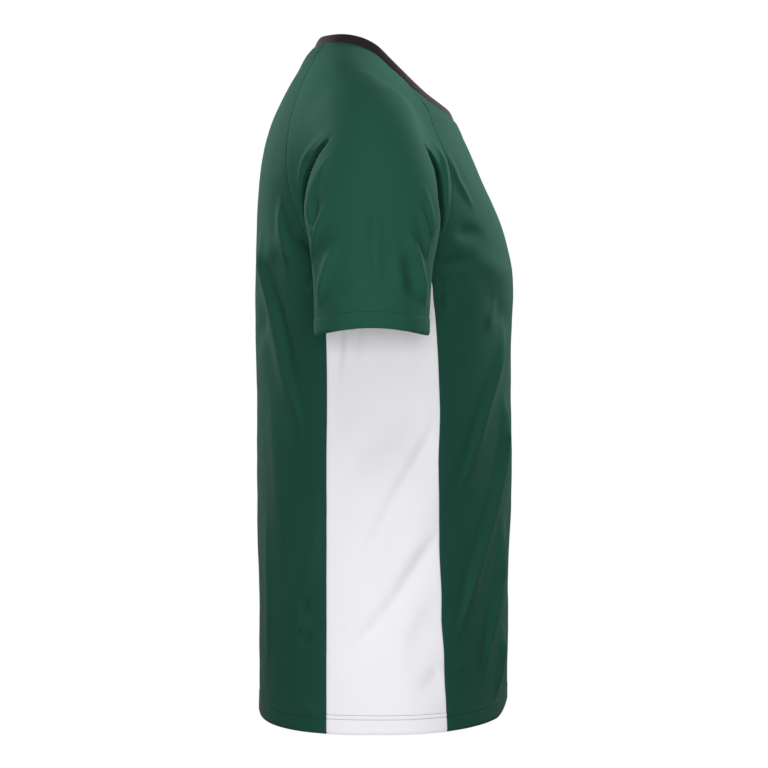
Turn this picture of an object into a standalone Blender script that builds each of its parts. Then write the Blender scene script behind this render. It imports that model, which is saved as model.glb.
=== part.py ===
"""Short-sleeved raglan training jersey, worn, with nobody in it.

Metres, +Z up. The wearer faces -Y, so +X is the wearer's left. The origin is the middle of the neck
at the height of the shoulders, where the wearer holds the jersey up.

The worn form is two stacks of horizontal sections, a torso and an arm, blended where they meet.
Seams are drawn on that form, each cut piece is a grid filled between its seams, and each grid is
thickened into a wall of cloth. The left pieces mirror the right ones.
"""

from collections import namedtuple

import bpy
import numpy as np

# Cloth
WALL = 0.0012  # thickness of one layer of knit
HEM_WALL = 0.0020  # thickness where the hem is turned up
BAND_WALL = 0.0022  # thickness of the doubled neck rib
SEAM_GAP = 0.00032  # between the edges of two pieces at a seam
HEM_TURN = 0.017  # height of the turned hem, body and sleeves
HEM_STEP = 0.0012  # over which the turned hem thins to one layer

# Levels
HEM_Z = -0.675
ARMPIT_Z = -0.232
HEM_RISE = 0.0078  # the front's hem is this much higher at the centre front than at its sides
HEM_RISE_HEIGHT = 0.100  # and its rows follow up to this height above the hem
CUFF_Z = -0.2940
CUFF_BOW = 0.0043  # the sleeve hem arches this much at the arm's outer and inner side
SLEEVE_CLEAR_TOP = 0.0008  # between sleeve and side panel at the underarm seam
SLEEVE_CLEAR_LOW = 0.0080  # and at the sleeve's hem
UNDERARM_GAP = 0.0016  # between the pieces' edges at the underarm seam
CROWD = 0.35  # how far the sleeve's columns crowd toward its seams

# Torso sections. squareness is the section's exponent, 2 for an ellipse.
TorsoSection = namedtuple("TorsoSection", "z half_width front back front_square back_square")
TORSO = (
    TorsoSection(0.010, 0.056, 0.010, 0.068, 2.00, 2.0),
    TorsoSection(-0.004, 0.084, -0.003, 0.0805, 2.00, 2.0),
    TorsoSection(-0.023, 0.127, -0.016, 0.0915, 1.85, 1.8),
    TorsoSection(-0.038, 0.158, -0.030, 0.1005, 1.75, 1.7),
    TorsoSection(-0.054, 0.181, -0.048, 0.109, 1.65, 1.7),
    TorsoSection(-0.071, 0.192, -0.071, 0.1165, 1.60, 1.8),
    TorsoSection(-0.093, 0.196, -0.083, 0.1235, 1.62, 2.0),
    TorsoSection(-0.135, 0.194, -0.1005, 0.130, 1.95, 2.3),
    TorsoSection(-0.180, 0.189, -0.1205, 0.133, 2.10, 2.3),
    TorsoSection(-0.222, 0.186, -0.131, 0.134, 2.15, 2.4),
    TorsoSection(-0.300, 0.186, -0.131, 0.133, 2.15, 2.5),
    TorsoSection(-0.420, 0.194, -0.1292, 0.1295, 2.15, 2.6),
    TorsoSection(-0.560, 0.203, -0.1275, 0.1290, 2.15, 2.7),
    TorsoSection(-0.675, 0.208, -0.1262, 0.1295, 2.15, 2.7),
)

# Arm sections, for the arm on the +X side. blend is the width of the crease where it meets the torso.
ArmSection = namedtuple("ArmSection", "z centre_x centre_y half_x half_y inner_square blend")
ARM = (
    ArmSection(-0.050, 0.166, 0.018, 0.004, 0.008, 2.0, 0.016),
    ArmSection(-0.062, 0.174, 0.017, 0.020, 0.022, 2.0, 0.026),
    ArmSection(-0.078, 0.184, 0.016, 0.037, 0.035, 2.0, 0.034),
    ArmSection(-0.098, 0.192, 0.013, 0.0485, 0.0425, 2.0, 0.036),
    ArmSection(-0.125, 0.200, 0.011, 0.055, 0.051, 2.0, 0.028),
    ArmSection(-0.155, 0.208, 0.011, 0.060, 0.062, 2.2, 0.014),
    ArmSection(-0.185, 0.218, 0.011, 0.061, 0.065, 3.0, 0.008),
    ArmSection(-0.212, 0.226, 0.011, 0.060, 0.060, 4.5, 0.005),
    ArmSection(-0.235, 0.232, 0.012, 0.059, 0.0565, 5.0, 0.004),
    ArmSection(-0.262, 0.240, 0.012, 0.056, 0.0545, 3.5, 0.004),
    ArmSection(-0.300, 0.248, 0.012, 0.054, 0.053, 2.5, 0.004),
)

# Raglan seams seen from the side, below their points on the neckline
SeamPoint = namedtuple("SeamPoint", "z y")
RAGLAN_FRONT = (
    SeamPoint(-0.065, -0.036),
    SeamPoint(-0.095, -0.0495),
    SeamPoint(-0.126, -0.0620),
    SeamPoint(-0.157, -0.0655),
    SeamPoint(-0.185, -0.0622),
    SeamPoint(-0.212, -0.0510),
    SeamPoint(ARMPIT_Z, -0.0375),
)
RAGLAN_BACK = (
    SeamPoint(-0.031, 0.0757),
    SeamPoint(-0.060, 0.0870),
    SeamPoint(-0.090, 0.0935),
    SeamPoint(-0.125, 0.0955),
    SeamPoint(-0.155, 0.0935),
    SeamPoint(-0.182, 0.0855),
    SeamPoint(-0.206, 0.0745),
    SeamPoint(ARMPIT_Z, 0.0590),
)
# Side panel's seams seen from the side
SIDE_FRONT = (
    SeamPoint(ARMPIT_Z, -0.0375),
    SeamPoint(-0.242, -0.0435),
    SeamPoint(-0.265, -0.0470),
    SeamPoint(-0.350, -0.0525),
    SeamPoint(-0.450, -0.0520),
    SeamPoint(-0.560, -0.0550),
    SeamPoint(HEM_Z, -0.0597),
)
SIDE_BACK = (
    SeamPoint(ARMPIT_Z, 0.0590),
    SeamPoint(-0.262, 0.0585),
    SeamPoint(-0.300, 0.0570),
    SeamPoint(-0.450, 0.0565),
    SeamPoint(HEM_Z, 0.0560),
)

# Neckline seen from above: two half ovals that meet where the neck is widest
NECK_HALF_WIDTH = 0.080
NECK_WIDEST_Y = 0.020
NECK_FRONT_Y = -0.072
NECK_BACK_Y = 0.073
NECK_BACK_SQUARE = 2.5
RAGLAN_FRONT_NECK_Y = -0.020
RAGLAN_BACK_NECK_Y = 0.061
BAND_HEIGHT = 0.0118
BAND_UPRIGHT_FRONT = 0.45  # 0 lies in the surface of the jersey, 1 stands straight up
BAND_UPRIGHT_SIDE = 0.62
BAND_UPRIGHT_BACK = 0.35
BAND_PROFILE = ((0.0, 0.0), (0.4, 0.0), (0.82, 0.0), (0.96, 0.12), (1.0, 0.32))  # share of height, tuck

# Cells in each piece's grid
COLUMNS_FRONT = 20
COLUMNS_BACK = 18
COLUMNS_SIDE = 8
COLUMNS_SLEEVE = 20
ROWS_BODY = 12  # hem to armpit, above the turned hem
ROWS_YOKE = 10  # armpit to neck
ROWS_SLEEVE = 4  # armpit to sleeve hem, above the turned hem
COLUMNS_BAND = 48
RELAX_STEPS = 60
SEAM_SMOOTHING = 60

# Largest soft folds, on both sides of the body: a ridge or a trough between two places seen from the side
Fold = namedtuple("Fold", "y_top z_top y_low z_low width height")
FOLDS = (
    Fold(-0.105, -0.350, -0.070, -0.600, 0.016, 0.0022),
    Fold(-0.118, -0.300, -0.092, -0.560, 0.014, -0.0016),
    Fold(-0.118, -0.420, -0.108, -0.640, 0.013, 0.0016),
    Fold(0.112, -0.200, 0.086, -0.440, 0.016, 0.0020),
    Fold(0.098, -0.215, 0.070, -0.330, 0.014, -0.0024),
)

GREEN = (0.027, 0.090, 0.062, 1.0)
WHITE = (0.82, 0.81, 0.85, 1.0)
BLACK = (0.020, 0.016, 0.019, 1.0)


def column_of(rows, name):
    """One named column of a table, as an array."""
    return np.array([getattr(row, name) for row in rows])


def read_table(rows, name, at, along="z"):
    """A table's column at any place along it, by a smooth curve through its rows."""
    knots, values = column_of(rows, along), column_of(rows, name)
    order = np.argsort(knots)
    knots, values = knots[order], values[order]
    slopes = np.gradient(values, knots)
    i = np.clip(np.searchsorted(knots, at) - 1, 0, len(knots) - 2)
    span = knots[i + 1] - knots[i]
    t = np.clip((at - knots[i]) / span, 0, 1)
    rise = (3 - 2 * t) * t * t
    return (
        (1 - rise) * values[i]
        + rise * values[i + 1]
        + span * t * (1 - t) * ((1 - t) * slopes[i] - t * slopes[i + 1])
    )


def oval_distance(u, v, half_u, half_v, power):
    """Distance of (u, v) outside a rounded section of these half sizes, along the line to its middle."""
    u, v = np.abs(u) + 1e-9, np.abs(v) + 1e-9
    reach = ((u / half_u) ** power + (v / half_v) ** power) ** (1 / power)
    return np.hypot(u, v) * (1 - 1 / reach)


def torso(p):
    """Distance outside the torso's section at the height of each point."""
    z = p[..., 2]
    front, back = read_table(TORSO, "front", z), read_table(TORSO, "back", z)
    v = p[..., 1] - (front + back) / 2
    power = np.where(
        v < 0, read_table(TORSO, "front_square", z), read_table(TORSO, "back_square", z)
    )
    return oval_distance(p[..., 0], v, read_table(TORSO, "half_width", z), (back - front) / 2, power)


def arm(p):
    """Distance outside the arm's section at the height of each point, on whichever side it is."""
    z = p[..., 2]
    u = np.abs(p[..., 0]) - read_table(ARM, "centre_x", z)
    v = p[..., 1] - read_table(ARM, "centre_y", z)
    power = np.where(u < 0, read_table(ARM, "inner_square", z), 2.1)
    above = np.maximum(0, z - ARM[0].z)
    return oval_distance(u, v, read_table(ARM, "half_x", z), read_table(ARM, "half_y", z), power) + above


def slope_of(field, p, step=2e-4):
    """The field's gradient, by differences."""
    return np.stack(
        [(field(p + step * axis) - field(p - step * axis)) / (2 * step) for axis in np.eye(3)], axis=-1
    )


def true_distance(field, p):
    """The field over its own slope, which is close to a distance near the surface."""
    return field(p) / np.linalg.norm(slope_of(field, p), axis=-1)


def worn_form(p):
    """The outside of torso and arms together. Under the armpit it is the torso alone."""
    body, limb = true_distance(torso, p), true_distance(arm, p)
    limb = limb + 3 * np.maximum(0, ARMPIT_Z - p[..., 2])
    width = read_table(ARM, "blend", p[..., 2])
    near = np.maximum(width - np.abs(body - limb), 0) / width
    return np.minimum(body, limb) - near * near * width / 4


def sleeve_form(p):
    """The outside of the arm below the armpit, kept clear of the torso."""
    down = np.clip((p[..., 2] - ARMPIT_Z) / (CUFF_Z - ARMPIT_Z), 0, 1)
    clear = SLEEVE_CLEAR_TOP + (SLEEVE_CLEAR_LOW - SLEEVE_CLEAR_TOP) * down
    limb, off_body = true_distance(arm, p), clear - true_distance(torso, p)
    width = 0.004
    near = np.maximum(width - np.abs(limb - off_body), 0) / width
    return np.maximum(limb, off_body) + near * near * width / 4


def drop_on(field, p, steps=6, along=None):
    """Moves points onto a form, by the shortest way or along one direction."""
    for _ in range(steps):
        slope = slope_of(field, p)
        if along is not None:
            rate = slope @ along
            p = p - (field(p) / np.where(np.abs(rate) < 0.05, 0.05, rate))[..., None] * along
        else:
            p = p - (field(p) / (slope**2).sum(-1))[..., None] * slope
    return p


def evenly_spaced(line, count, crowd=0.0):
    """count + 1 points along a line of points, evenly or crowded toward both ends."""
    length = np.concatenate([[0], np.cumsum(np.linalg.norm(np.diff(line, axis=0), axis=1))])
    share = np.linspace(0, 1, count + 1)
    share = share - crowd * np.sin(2 * np.pi * share) / (2 * np.pi)
    return np.stack([np.interp(share * length[-1], length, line[:, k]) for k in range(3)], axis=-1)


def neckline():
    """The neck seam's left half on the worn form, from the centre front to the centre back."""
    turn = np.linspace(0, np.pi, 361)
    across, forward = np.sin(turn), np.cos(turn)
    power = np.where(forward > 0, 1.0, 2 / NECK_BACK_SQUARE)
    reach = np.where(forward > 0, NECK_WIDEST_Y - NECK_FRONT_Y, NECK_BACK_Y - NECK_WIDEST_Y)
    x = NECK_HALF_WIDTH * across**power
    y = NECK_WIDEST_Y - reach * np.sign(forward) * np.abs(forward) ** power
    start = np.interp(y, [NECK_FRONT_Y, NECK_WIDEST_Y, NECK_BACK_Y], [-0.070, -0.008, 0.004])
    return drop_on(torso, np.stack([x, y, start], axis=-1), 12, np.array([0, 0, 1.0]))


def neck_arc(low_y, high_y, count):
    """Even points along the left half of the neckline between two depths, front to back."""
    half = neckline()
    ends = [np.array([np.interp(y, half[:, 1], half[:, k]) for k in range(3)]) for y in (low_y, high_y)]
    between = half[(half[:, 1] > low_y) & (half[:, 1] < high_y)]
    return evenly_spaced(np.vstack([ends[0], between, ends[1]]), count)


def mirrored(points):
    """The same points on the wearer's other side."""
    return points * np.array([-1.0, 1.0, 1.0])


def turn_at(y, z):
    """How far round the torso's section a seam lies, 0 at the centre front and pi at the centre back."""
    front, back = read_table(TORSO, "front", z), read_table(TORSO, "back", z)
    v = (y - (front + back) / 2) / ((back - front) / 2)
    power = np.where(
        v < 0, read_table(TORSO, "front_square", z), read_table(TORSO, "back_square", z)
    )
    around = np.arccos(np.clip(np.abs(v), 0, 1) ** (power / 2))
    return np.where(v < 0, around, np.pi - around)


def on_section(turn, z):
    """The torso's point this far round its section at a height."""
    front, back = read_table(TORSO, "front", z), read_table(TORSO, "back", z)
    across, forward = np.sin(turn), np.cos(turn)
    power = np.where(
        forward > 0, read_table(TORSO, "front_square", z), read_table(TORSO, "back_square", z)
    )
    x = read_table(TORSO, "half_width", z) * np.sign(across) * np.abs(across) ** (2 / power)
    y = (front + back) / 2 - (back - front) / 2 * np.sign(forward) * np.abs(forward) ** (2 / power)
    return np.stack([x, y, np.full(np.shape(x), z)], axis=-1)


def section_arc(z, start, end, count):
    """Even points round the torso's section at one height, between two turns."""
    return evenly_spaced(on_section(np.linspace(start, end, 400), z), count)


def body_levels():
    """Heights of the body's rows from the armpit to the hem, with the step where the hem is turned."""
    turned = HEM_Z + HEM_TURN
    return np.concatenate([np.linspace(ARMPIT_Z, turned + HEM_STEP, ROWS_BODY + 1), [turned, HEM_Z]])


def sleeve_levels():
    """Heights of the sleeve's rows from the armpit to its hem."""
    turned = CUFF_Z + HEM_TURN
    return np.concatenate([np.linspace(ARMPIT_Z, turned + HEM_STEP, ROWS_SLEEVE + 1), [turned, CUFF_Z]])


def raglan_seam(rows, neck_y):
    """A raglan seam on the +X side, from the neckline to the armpit, in even steps."""
    top = neck_arc(neck_y, neck_y + 1e-3, 1)[0]
    table = (SeamPoint(top[2], top[1]), *rows)
    z = np.linspace(top[2], ARMPIT_Z, 120)
    y = read_table(table, "y", z)
    line = np.stack([on_section(t, h) for t, h in zip(turn_at(y, z), z)])
    line = drop_on(worn_form, line, 10)
    line[0] = top
    for _ in range(SEAM_SMOOTHING):
        line[1:-1] = (line[:-2] + line[2:]) / 2
        line[1:-1] = drop_on(worn_form, line[1:-1], 1)
    return evenly_spaced(line, ROWS_YOKE)


def filled(top, bottom, first, last, field):
    """A grid of points on a form between four edges, its rows running from top to bottom."""
    down = np.linspace(0, 1, len(first))[:, None, None]
    across = np.linspace(0, 1, len(top))[None, :, None]
    corners = (
        (1 - down) * ((1 - across) * top[0] + across * top[-1])
        + down * ((1 - across) * bottom[0] + across * bottom[-1])
    )
    grid = (1 - down) * top + down * bottom
    grid = grid + (1 - across) * first[:, None] + across * last[:, None] - corners
    grid[0], grid[-1], grid[:, 0], grid[:, -1] = top, bottom, first, last
    inner = grid[1:-1, 1:-1]
    for _ in range(RELAX_STEPS):
        inner[:] = (grid[:-2, 1:-1] + grid[2:, 1:-1] + grid[1:-1, :-2] + grid[1:-1, 2:]) / 4
        inner[:] = drop_on(field, inner, 1)
    inner[:] = drop_on(field, inner, 6)
    return grid


def fold_lift(p):
    """How far the large folds lift the cloth at each point."""
    lift = np.zeros(p.shape[:-1])
    for fold in FOLDS:
        top, low = np.array([fold.y_top, fold.z_top]), np.array([fold.y_low, fold.z_low])
        run = low - top
        t = np.clip(((p[..., 1:] - top) @ run) / (run @ run), 0, 1)
        away = np.linalg.norm(p[..., 1:] - top - t[..., None] * run, axis=-1)
        lift = lift + fold.height * np.sqrt(np.sin(np.pi * t)) * np.exp(-((away / fold.width) ** 2))
    return lift


def unit(vectors):
    """Vectors at length one."""
    return vectors / np.linalg.norm(vectors, axis=-1, keepdims=True)


def body_panel(seam_first, seam_last, top, turns):
    """A front or back: its yoke filled between the raglan seams, then even rows down to the hem."""
    levels = body_levels()
    rows = [section_arc(z, *turns(z), len(top) - 1) for z in levels]
    rows[0][0], rows[0][-1] = seam_first[-1], seam_last[-1]
    yoke = filled(top, rows[0], seam_first, seam_last, worn_form)
    return np.concatenate([yoke, rows[1:]])


def with_risen_hem(grid):
    """The front with its lowest rows lifted toward the centre front."""
    inward = np.clip((0.110 - np.abs(grid[..., 0])) / 0.065, 0, 1)
    low = np.clip(1 - (grid[..., 2] - HEM_Z) / HEM_RISE_HEIGHT, 0, 1)
    risen = grid.copy()
    risen[..., 2] += HEM_RISE * inward * inward * (3 - 2 * inward) * low
    return risen


def side_turns(z):
    """Where the side panel's two seams lie round the section, on the +X side."""
    return turn_at(read_table(SIDE_FRONT, "y", z), z), turn_at(read_table(SIDE_BACK, "y", z), z)


def front_grid():
    """The front, from the wearer's right to the wearer's left."""
    seam = raglan_seam(RAGLAN_FRONT, RAGLAN_FRONT_NECK_Y)
    half = neck_arc(NECK_FRONT_Y, RAGLAN_FRONT_NECK_Y, COLUMNS_FRONT // 2)
    top = np.vstack([mirrored(half[::-1]), half[1:]])
    return with_risen_hem(body_panel(mirrored(seam), seam, top, lambda z: (-side_turns(z)[0], side_turns(z)[0])))


def back_grid():
    """The back, from the wearer's left to the wearer's right."""
    seam = raglan_seam(RAGLAN_BACK, RAGLAN_BACK_NECK_Y)
    half = neck_arc(RAGLAN_BACK_NECK_Y, NECK_BACK_Y, COLUMNS_BACK // 2)
    top = np.vstack([half, mirrored(half[::-1])[1:]])
    return body_panel(seam, mirrored(seam), top, lambda z: (side_turns(z)[1], 2 * np.pi - side_turns(z)[1]))


def side_grid():
    """The left side panel, from its front seam to its back seam."""
    return np.array([section_arc(z, *side_turns(z), COLUMNS_SIDE) for z in body_levels()])


def sleeve_ring(turns, z):
    """The sleeve's points at these turns round the arm's middle, 0 toward the outer side."""
    centre = np.array([read_table(ARM, "centre_x", z), read_table(ARM, "centre_y", z)])
    near, far = np.zeros(len(turns)), np.full(len(turns), 0.12)
    ray = np.stack([np.cos(turns), np.sin(turns)], axis=-1)
    for _ in range(40):
        middle = (near + far) / 2
        place = np.column_stack([centre + ray * middle[:, None], np.full(len(turns), z)])
        outside = sleeve_form(place) > 0
        far = np.where(outside, middle, far)
        near = np.where(outside, near, middle)
    return place


def turn_round_arm(p, z):
    """The direction of points from the arm's middle, 0 toward the outer side, 90 degrees backward."""
    return np.arctan2(p[..., 1] - read_table(ARM, "centre_y", z), p[..., 0] - read_table(ARM, "centre_x", z))


def sleeve_grids():
    """The left sleeve: the rows above the armpit, and the closed rows below it."""
    first = raglan_seam(RAGLAN_FRONT, RAGLAN_FRONT_NECK_Y)
    last = raglan_seam(RAGLAN_BACK, RAGLAN_BACK_NECK_Y)
    top = neck_arc(RAGLAN_FRONT_NECK_Y, RAGLAN_BACK_NECK_Y, COLUMNS_SLEEVE)
    ends = turn_round_arm(first[-1], ARMPIT_Z), turn_round_arm(last[-1], ARMPIT_Z)
    outer = evenly_spaced(sleeve_ring(np.linspace(*ends, 400), ARMPIT_Z), COLUMNS_SLEEVE, CROWD)
    outer[0], outer[-1] = first[-1], last[-1]
    upper = filled(top, outer, first, last, worn_form)
    under = sleeve_ring(np.linspace(ends[1], ends[0] + 2 * np.pi, 200), ARMPIT_Z)
    under = evenly_spaced(under, COLUMNS_SIDE)
    under[0], under[-1] = outer[-1], outer[0]
    ring = np.vstack([outer, under[1:-1]])
    turns = np.unwrap(turn_round_arm(ring, ARMPIT_Z))
    cuff = sleeve_ring(np.linspace(turns[0], turns[0] + 2 * np.pi, 721), CUFF_Z)
    even = np.unwrap(turn_round_arm(evenly_spaced(cuff, len(ring))[:-1], CUFF_Z))
    even = even + np.mean(turns) - np.mean(even)
    lower = [ring]
    for z in sleeve_levels()[1:]:
        down = (z - ARMPIT_Z) / (CUFF_Z - ARMPIT_Z)
        row = sleeve_ring(turns + (even - turns) * down, z)
        row[:, 2] += CUFF_BOW * down * np.cos(2 * turns)
        lower.append(row)
    return upper, np.array(lower)


def normals_on(field, grid):
    """The outward direction of a form at each point."""
    return unit(slope_of(field, grid))


def pulled_edge(edge, beside, normals, step):
    """An edge moved square to itself along the cloth, toward the line of points beside it."""
    along = np.gradient(edge, axis=0)
    across = unit(np.cross(normals, along))
    side = np.sign(np.sum(across * (beside - edge), axis=-1, keepdims=True))
    return edge + across * side * step


def pulled_in(grid, normals, top=SEAM_GAP / 2):
    """The grid with its top edge and its two side edges moved in, to leave the seam gaps."""
    moved = grid.copy()
    moved[:, 0] = pulled_edge(grid[:, 0], grid[:, 1], normals[:, 0], SEAM_GAP / 2)
    moved[:, -1] = pulled_edge(grid[:, -1], grid[:, -2], normals[:, -1], SEAM_GAP / 2)
    moved[0] += pulled_edge(grid[0], grid[1], normals[0], top) - grid[0]
    return moved


class Cloth:
    """A piece of cloth as points on its outer face, their inward steps, and four-sided cells."""

    def __init__(self):
        self.outer = []
        self.inner = []
        self.cells = []

    def add_rows(self, grid, inward):
        """Adds a grid of points and returns their numbers."""
        start = len(self.outer)
        self.outer.extend(map(tuple, grid.reshape(-1, 3)))
        self.inner.extend(map(tuple, (grid + inward).reshape(-1, 3)))
        return np.arange(start, len(self.outer)).reshape(grid.shape[:-1])

    def add_cells(self, numbers, closed=False):
        """Adds the cells between the rows and columns of numbered points."""
        if closed:
            numbers = np.column_stack([numbers, numbers[:, 0]])
        for upper, lower in zip(numbers[:-1], numbers[1:]):
            for k in range(len(upper) - 1):
                self.cells.append((upper[k], lower[k], lower[k + 1], upper[k + 1]))

    def halved(self, cell):
        """A cell's two triangles, cut along its shorter diagonal, the same on both faces."""
        a, b, c, d = cell
        place = np.array([self.outer[n] for n in cell])
        if np.linalg.norm(place[0] - place[2]) <= np.linalg.norm(place[1] - place[3]):
            return [(a, b, c), (a, c, d)]
        return [(a, b, d), (b, c, d)]

    def rim(self, a, b, count):
        """The wall's edge between two outer points, cut from its higher outer point to its lower inner."""
        if self.outer[a][2] >= self.outer[b][2]:
            return [(b, a, b + count), (a, a + count, b + count)]
        return [(b, a, a + count), (b, a + count, b + count)]

    def build(self, name, colour, flip=False):
        """Makes the closed solid: the outer face, the inner face, and a rim along every free edge."""
        count = len(self.outer)
        points = self.outer + self.inner
        halves = [half for cell in self.cells for half in self.halved(cell)]
        edges = {(cell[k], cell[(k + 1) % 4]) for cell in self.cells for k in range(4)}
        faces = halves + [tuple(n + count for n in reversed(half)) for half in halves]
        for a, b in sorted(edges):
            if (b, a) not in edges:
                faces += self.rim(a, b, count)
        if flip:
            points = [(-x, y, z) for x, y, z in points]
            faces = [tuple(reversed(face)) for face in faces]
        mesh = bpy.data.meshes.new(name)
        mesh.from_pydata(points, [], [tuple(int(n) for n in face) for face in faces])
        mesh.polygons.foreach_set("use_smooth", [True] * len(mesh.polygons))
        material = bpy.data.materials.new(name)
        material.use_nodes = True
        shader = material.node_tree.nodes["Principled BSDF"]
        shader.inputs["Base Color"].default_value = colour
        shader.inputs["Roughness"].default_value = 0.8
        mesh.materials.append(material)
        bpy.context.collection.objects.link(bpy.data.objects.new(name, mesh))


def body_piece(grid, normals, name, colour, flip=False, top_gap=SEAM_GAP / 2):
    """A piece of the body with seams at its top and both sides and the turned hem below."""
    grid = grid + normals * fold_lift(grid)[..., None]
    thick = np.full(len(grid), WALL)
    thick[-2:] = HEM_WALL
    grid = pulled_in(grid, normals, top_gap)
    cloth = Cloth()
    cloth.add_cells(cloth.add_rows(grid, -normals * thick[:, None, None]))
    cloth.build(name, colour, flip)


def body_normals(grid):
    """Outward directions on the body: of the whole worn form above the armpit, of the torso below."""
    above = normals_on(worn_form, grid)
    return np.where(grid[..., 2:] > ARMPIT_Z + 1e-5, above, normals_on(torso, grid))


def add_front():
    """The front panel."""
    grid = front_grid()
    body_piece(grid, body_normals(grid), "front", GREEN)


def add_back():
    """The back panel."""
    grid = back_grid()
    body_piece(grid, body_normals(grid), "back", GREEN)


def add_side_panels():
    """The two white panels down the sides."""
    grid = side_grid()
    normals = normals_on(torso, grid)
    body_piece(grid, normals, "side_panel_left", WHITE, top_gap=UNDERARM_GAP)
    body_piece(grid, normals, "side_panel_right", WHITE, flip=True, top_gap=UNDERARM_GAP)


def add_sleeves():
    """The two sleeves, each open at its raglan seams above the armpit and closed under the arm."""
    upper, lower = sleeve_grids()
    above = normals_on(worn_form, upper)
    below = normals_on(sleeve_form, lower)
    columns = upper.shape[1]
    blend = unit(above[-1, [0, -1]] + below[0, [0, columns - 1]])
    above[-1, [0, -1]] = blend
    below[0, :columns] = above[-1]
    upper = pulled_in(upper, above)
    upper[-1, [0, -1]] += normals_on(torso, upper[-1, [0, -1]]) * SLEEVE_CLEAR_TOP
    lower[0, :columns] = upper[-1]
    thick = np.full(len(lower), WALL)
    thick[-2:] = HEM_WALL
    for side in ("left", "right"):
        cloth = Cloth()
        high = cloth.add_rows(upper, -above * WALL)
        under = cloth.add_rows(lower[0, columns:], -below[0, columns:] * WALL)
        low = cloth.add_rows(lower[1:], -below[1:] * thick[1:, None, None])
        cloth.add_cells(high)
        cloth.add_cells(np.vstack([np.concatenate([high[-1], under]), low]), closed=True)
        cloth.build("sleeve_" + side, GREEN, flip=side == "right")


def add_collar():
    """The neck rib: a doubled band that stands on the neckline and leans into the neck."""
    half = neck_arc(NECK_FRONT_Y, NECK_BACK_Y, COLUMNS_BAND // 2)
    ring = np.vstack([half, mirrored(half[::-1])[1:-1]])
    along = unit(np.roll(ring, -1, axis=0) - np.roll(ring, 1, axis=0))
    outward = normals_on(torso, ring)
    upward = np.cross(outward, along)
    front_share = np.clip((NECK_BACK_Y - ring[:, 1]) / (NECK_BACK_Y - NECK_FRONT_Y), 0, 1)
    share = np.interp(front_share, [0, 0.45, 1], [BAND_UPRIGHT_BACK, BAND_UPRIGHT_SIDE, BAND_UPRIGHT_FRONT])
    rise = unit(upward * (1 - share)[:, None] + np.array([0, 0, 1.0]) * share[:, None])
    face = unit(np.cross(along, rise))
    rows = []
    inward = []
    for height, tuck in BAND_PROFILE:
        rows.append(ring + rise * (SEAM_GAP / 2 + height * BAND_HEIGHT) - face * tuck * BAND_WALL)
        inward.append(-face * (1 - 2 * tuck) * BAND_WALL)
    cloth = Cloth()
    numbers = cloth.add_rows(np.array(rows)[::-1], np.array(inward)[::-1])
    cloth.add_cells(numbers, closed=True)
    cloth.build("collar", BLACK)


def main():
    """Clears the scene and builds the jersey's pieces."""
    for thing in list(bpy.data.objects):
        bpy.data.objects.remove(thing, do_unlink=True)
    add_front()
    add_back()
    add_side_panels()
    add_sleeves()
    add_collar()


if __name__ == "__main__":
    main()
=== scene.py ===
"""A short-sleeved raglan training jersey, worn, with nobody in it: its cloth, seams, stitches and studio.

Metres, +Z up. The wearer faces -Y, so +X is the wearer's left. The origin is the middle of the neck at
the height of the shoulders. The worn form is a torso and an arm, each a stack of horizontal sections.
Every piece of cloth is a fine grid laid on that form between its seams, then creased, and made into a
thin shell with turned edges.
"""

import logging
import math
from collections.abc import Sequence
from dataclasses import dataclass, field, replace
from enum import Enum
from typing import Any

import bpy
import numpy as np
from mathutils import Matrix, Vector, noise


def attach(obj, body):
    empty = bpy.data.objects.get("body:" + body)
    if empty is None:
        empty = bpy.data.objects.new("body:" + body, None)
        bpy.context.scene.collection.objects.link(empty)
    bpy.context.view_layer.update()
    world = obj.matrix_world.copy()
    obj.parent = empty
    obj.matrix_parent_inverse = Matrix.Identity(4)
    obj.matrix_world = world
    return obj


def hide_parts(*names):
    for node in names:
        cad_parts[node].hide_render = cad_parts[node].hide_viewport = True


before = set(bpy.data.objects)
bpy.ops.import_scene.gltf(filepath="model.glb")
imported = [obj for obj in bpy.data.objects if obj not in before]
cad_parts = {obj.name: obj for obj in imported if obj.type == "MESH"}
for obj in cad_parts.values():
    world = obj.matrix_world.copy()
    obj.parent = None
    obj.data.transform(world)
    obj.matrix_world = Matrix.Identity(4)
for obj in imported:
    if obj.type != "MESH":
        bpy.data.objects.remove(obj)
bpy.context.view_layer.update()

LOG = logging.getLogger("jersey")
Array = np.ndarray
UP = np.array([0.0, 0.0, 1.0])
MIRROR = np.array([-1.0, 1.0, 1.0])


class Side(Enum):
    """A side of the wearer, with the sign of its x."""

    RIGHT = -1.0
    LEFT = 1.0


class Seen(Enum):
    """Where a crease's places are read from."""

    SIDE = "side"
    FRONT = "front"
    BACK = "back"


class Cover(Enum):
    """Which pieces a crease runs over."""

    ALL = "all"
    BODY = "body"
    SLEEVE = "sleeve"


# ---------------------------------------------------------------------------------------------------
# Small maths
# ---------------------------------------------------------------------------------------------------


def unit(vectors: Array) -> Array:
    """Vectors at length one."""
    return vectors / np.maximum(np.linalg.norm(vectors, axis=-1, keepdims=True), 1e-12)


def eased(share: Array | float) -> Array:
    """A smooth rise from 0 to 1 while share goes from 0 to 1."""
    share = np.clip(share, 0.0, 1.0)
    return share * share * (3.0 - 2.0 * share)


def run_of(line: Array) -> Array:
    """The length run along a line of points at each of them."""
    return np.concatenate([[0.0], np.cumsum(np.linalg.norm(np.diff(line, axis=0), axis=-1))])


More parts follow.
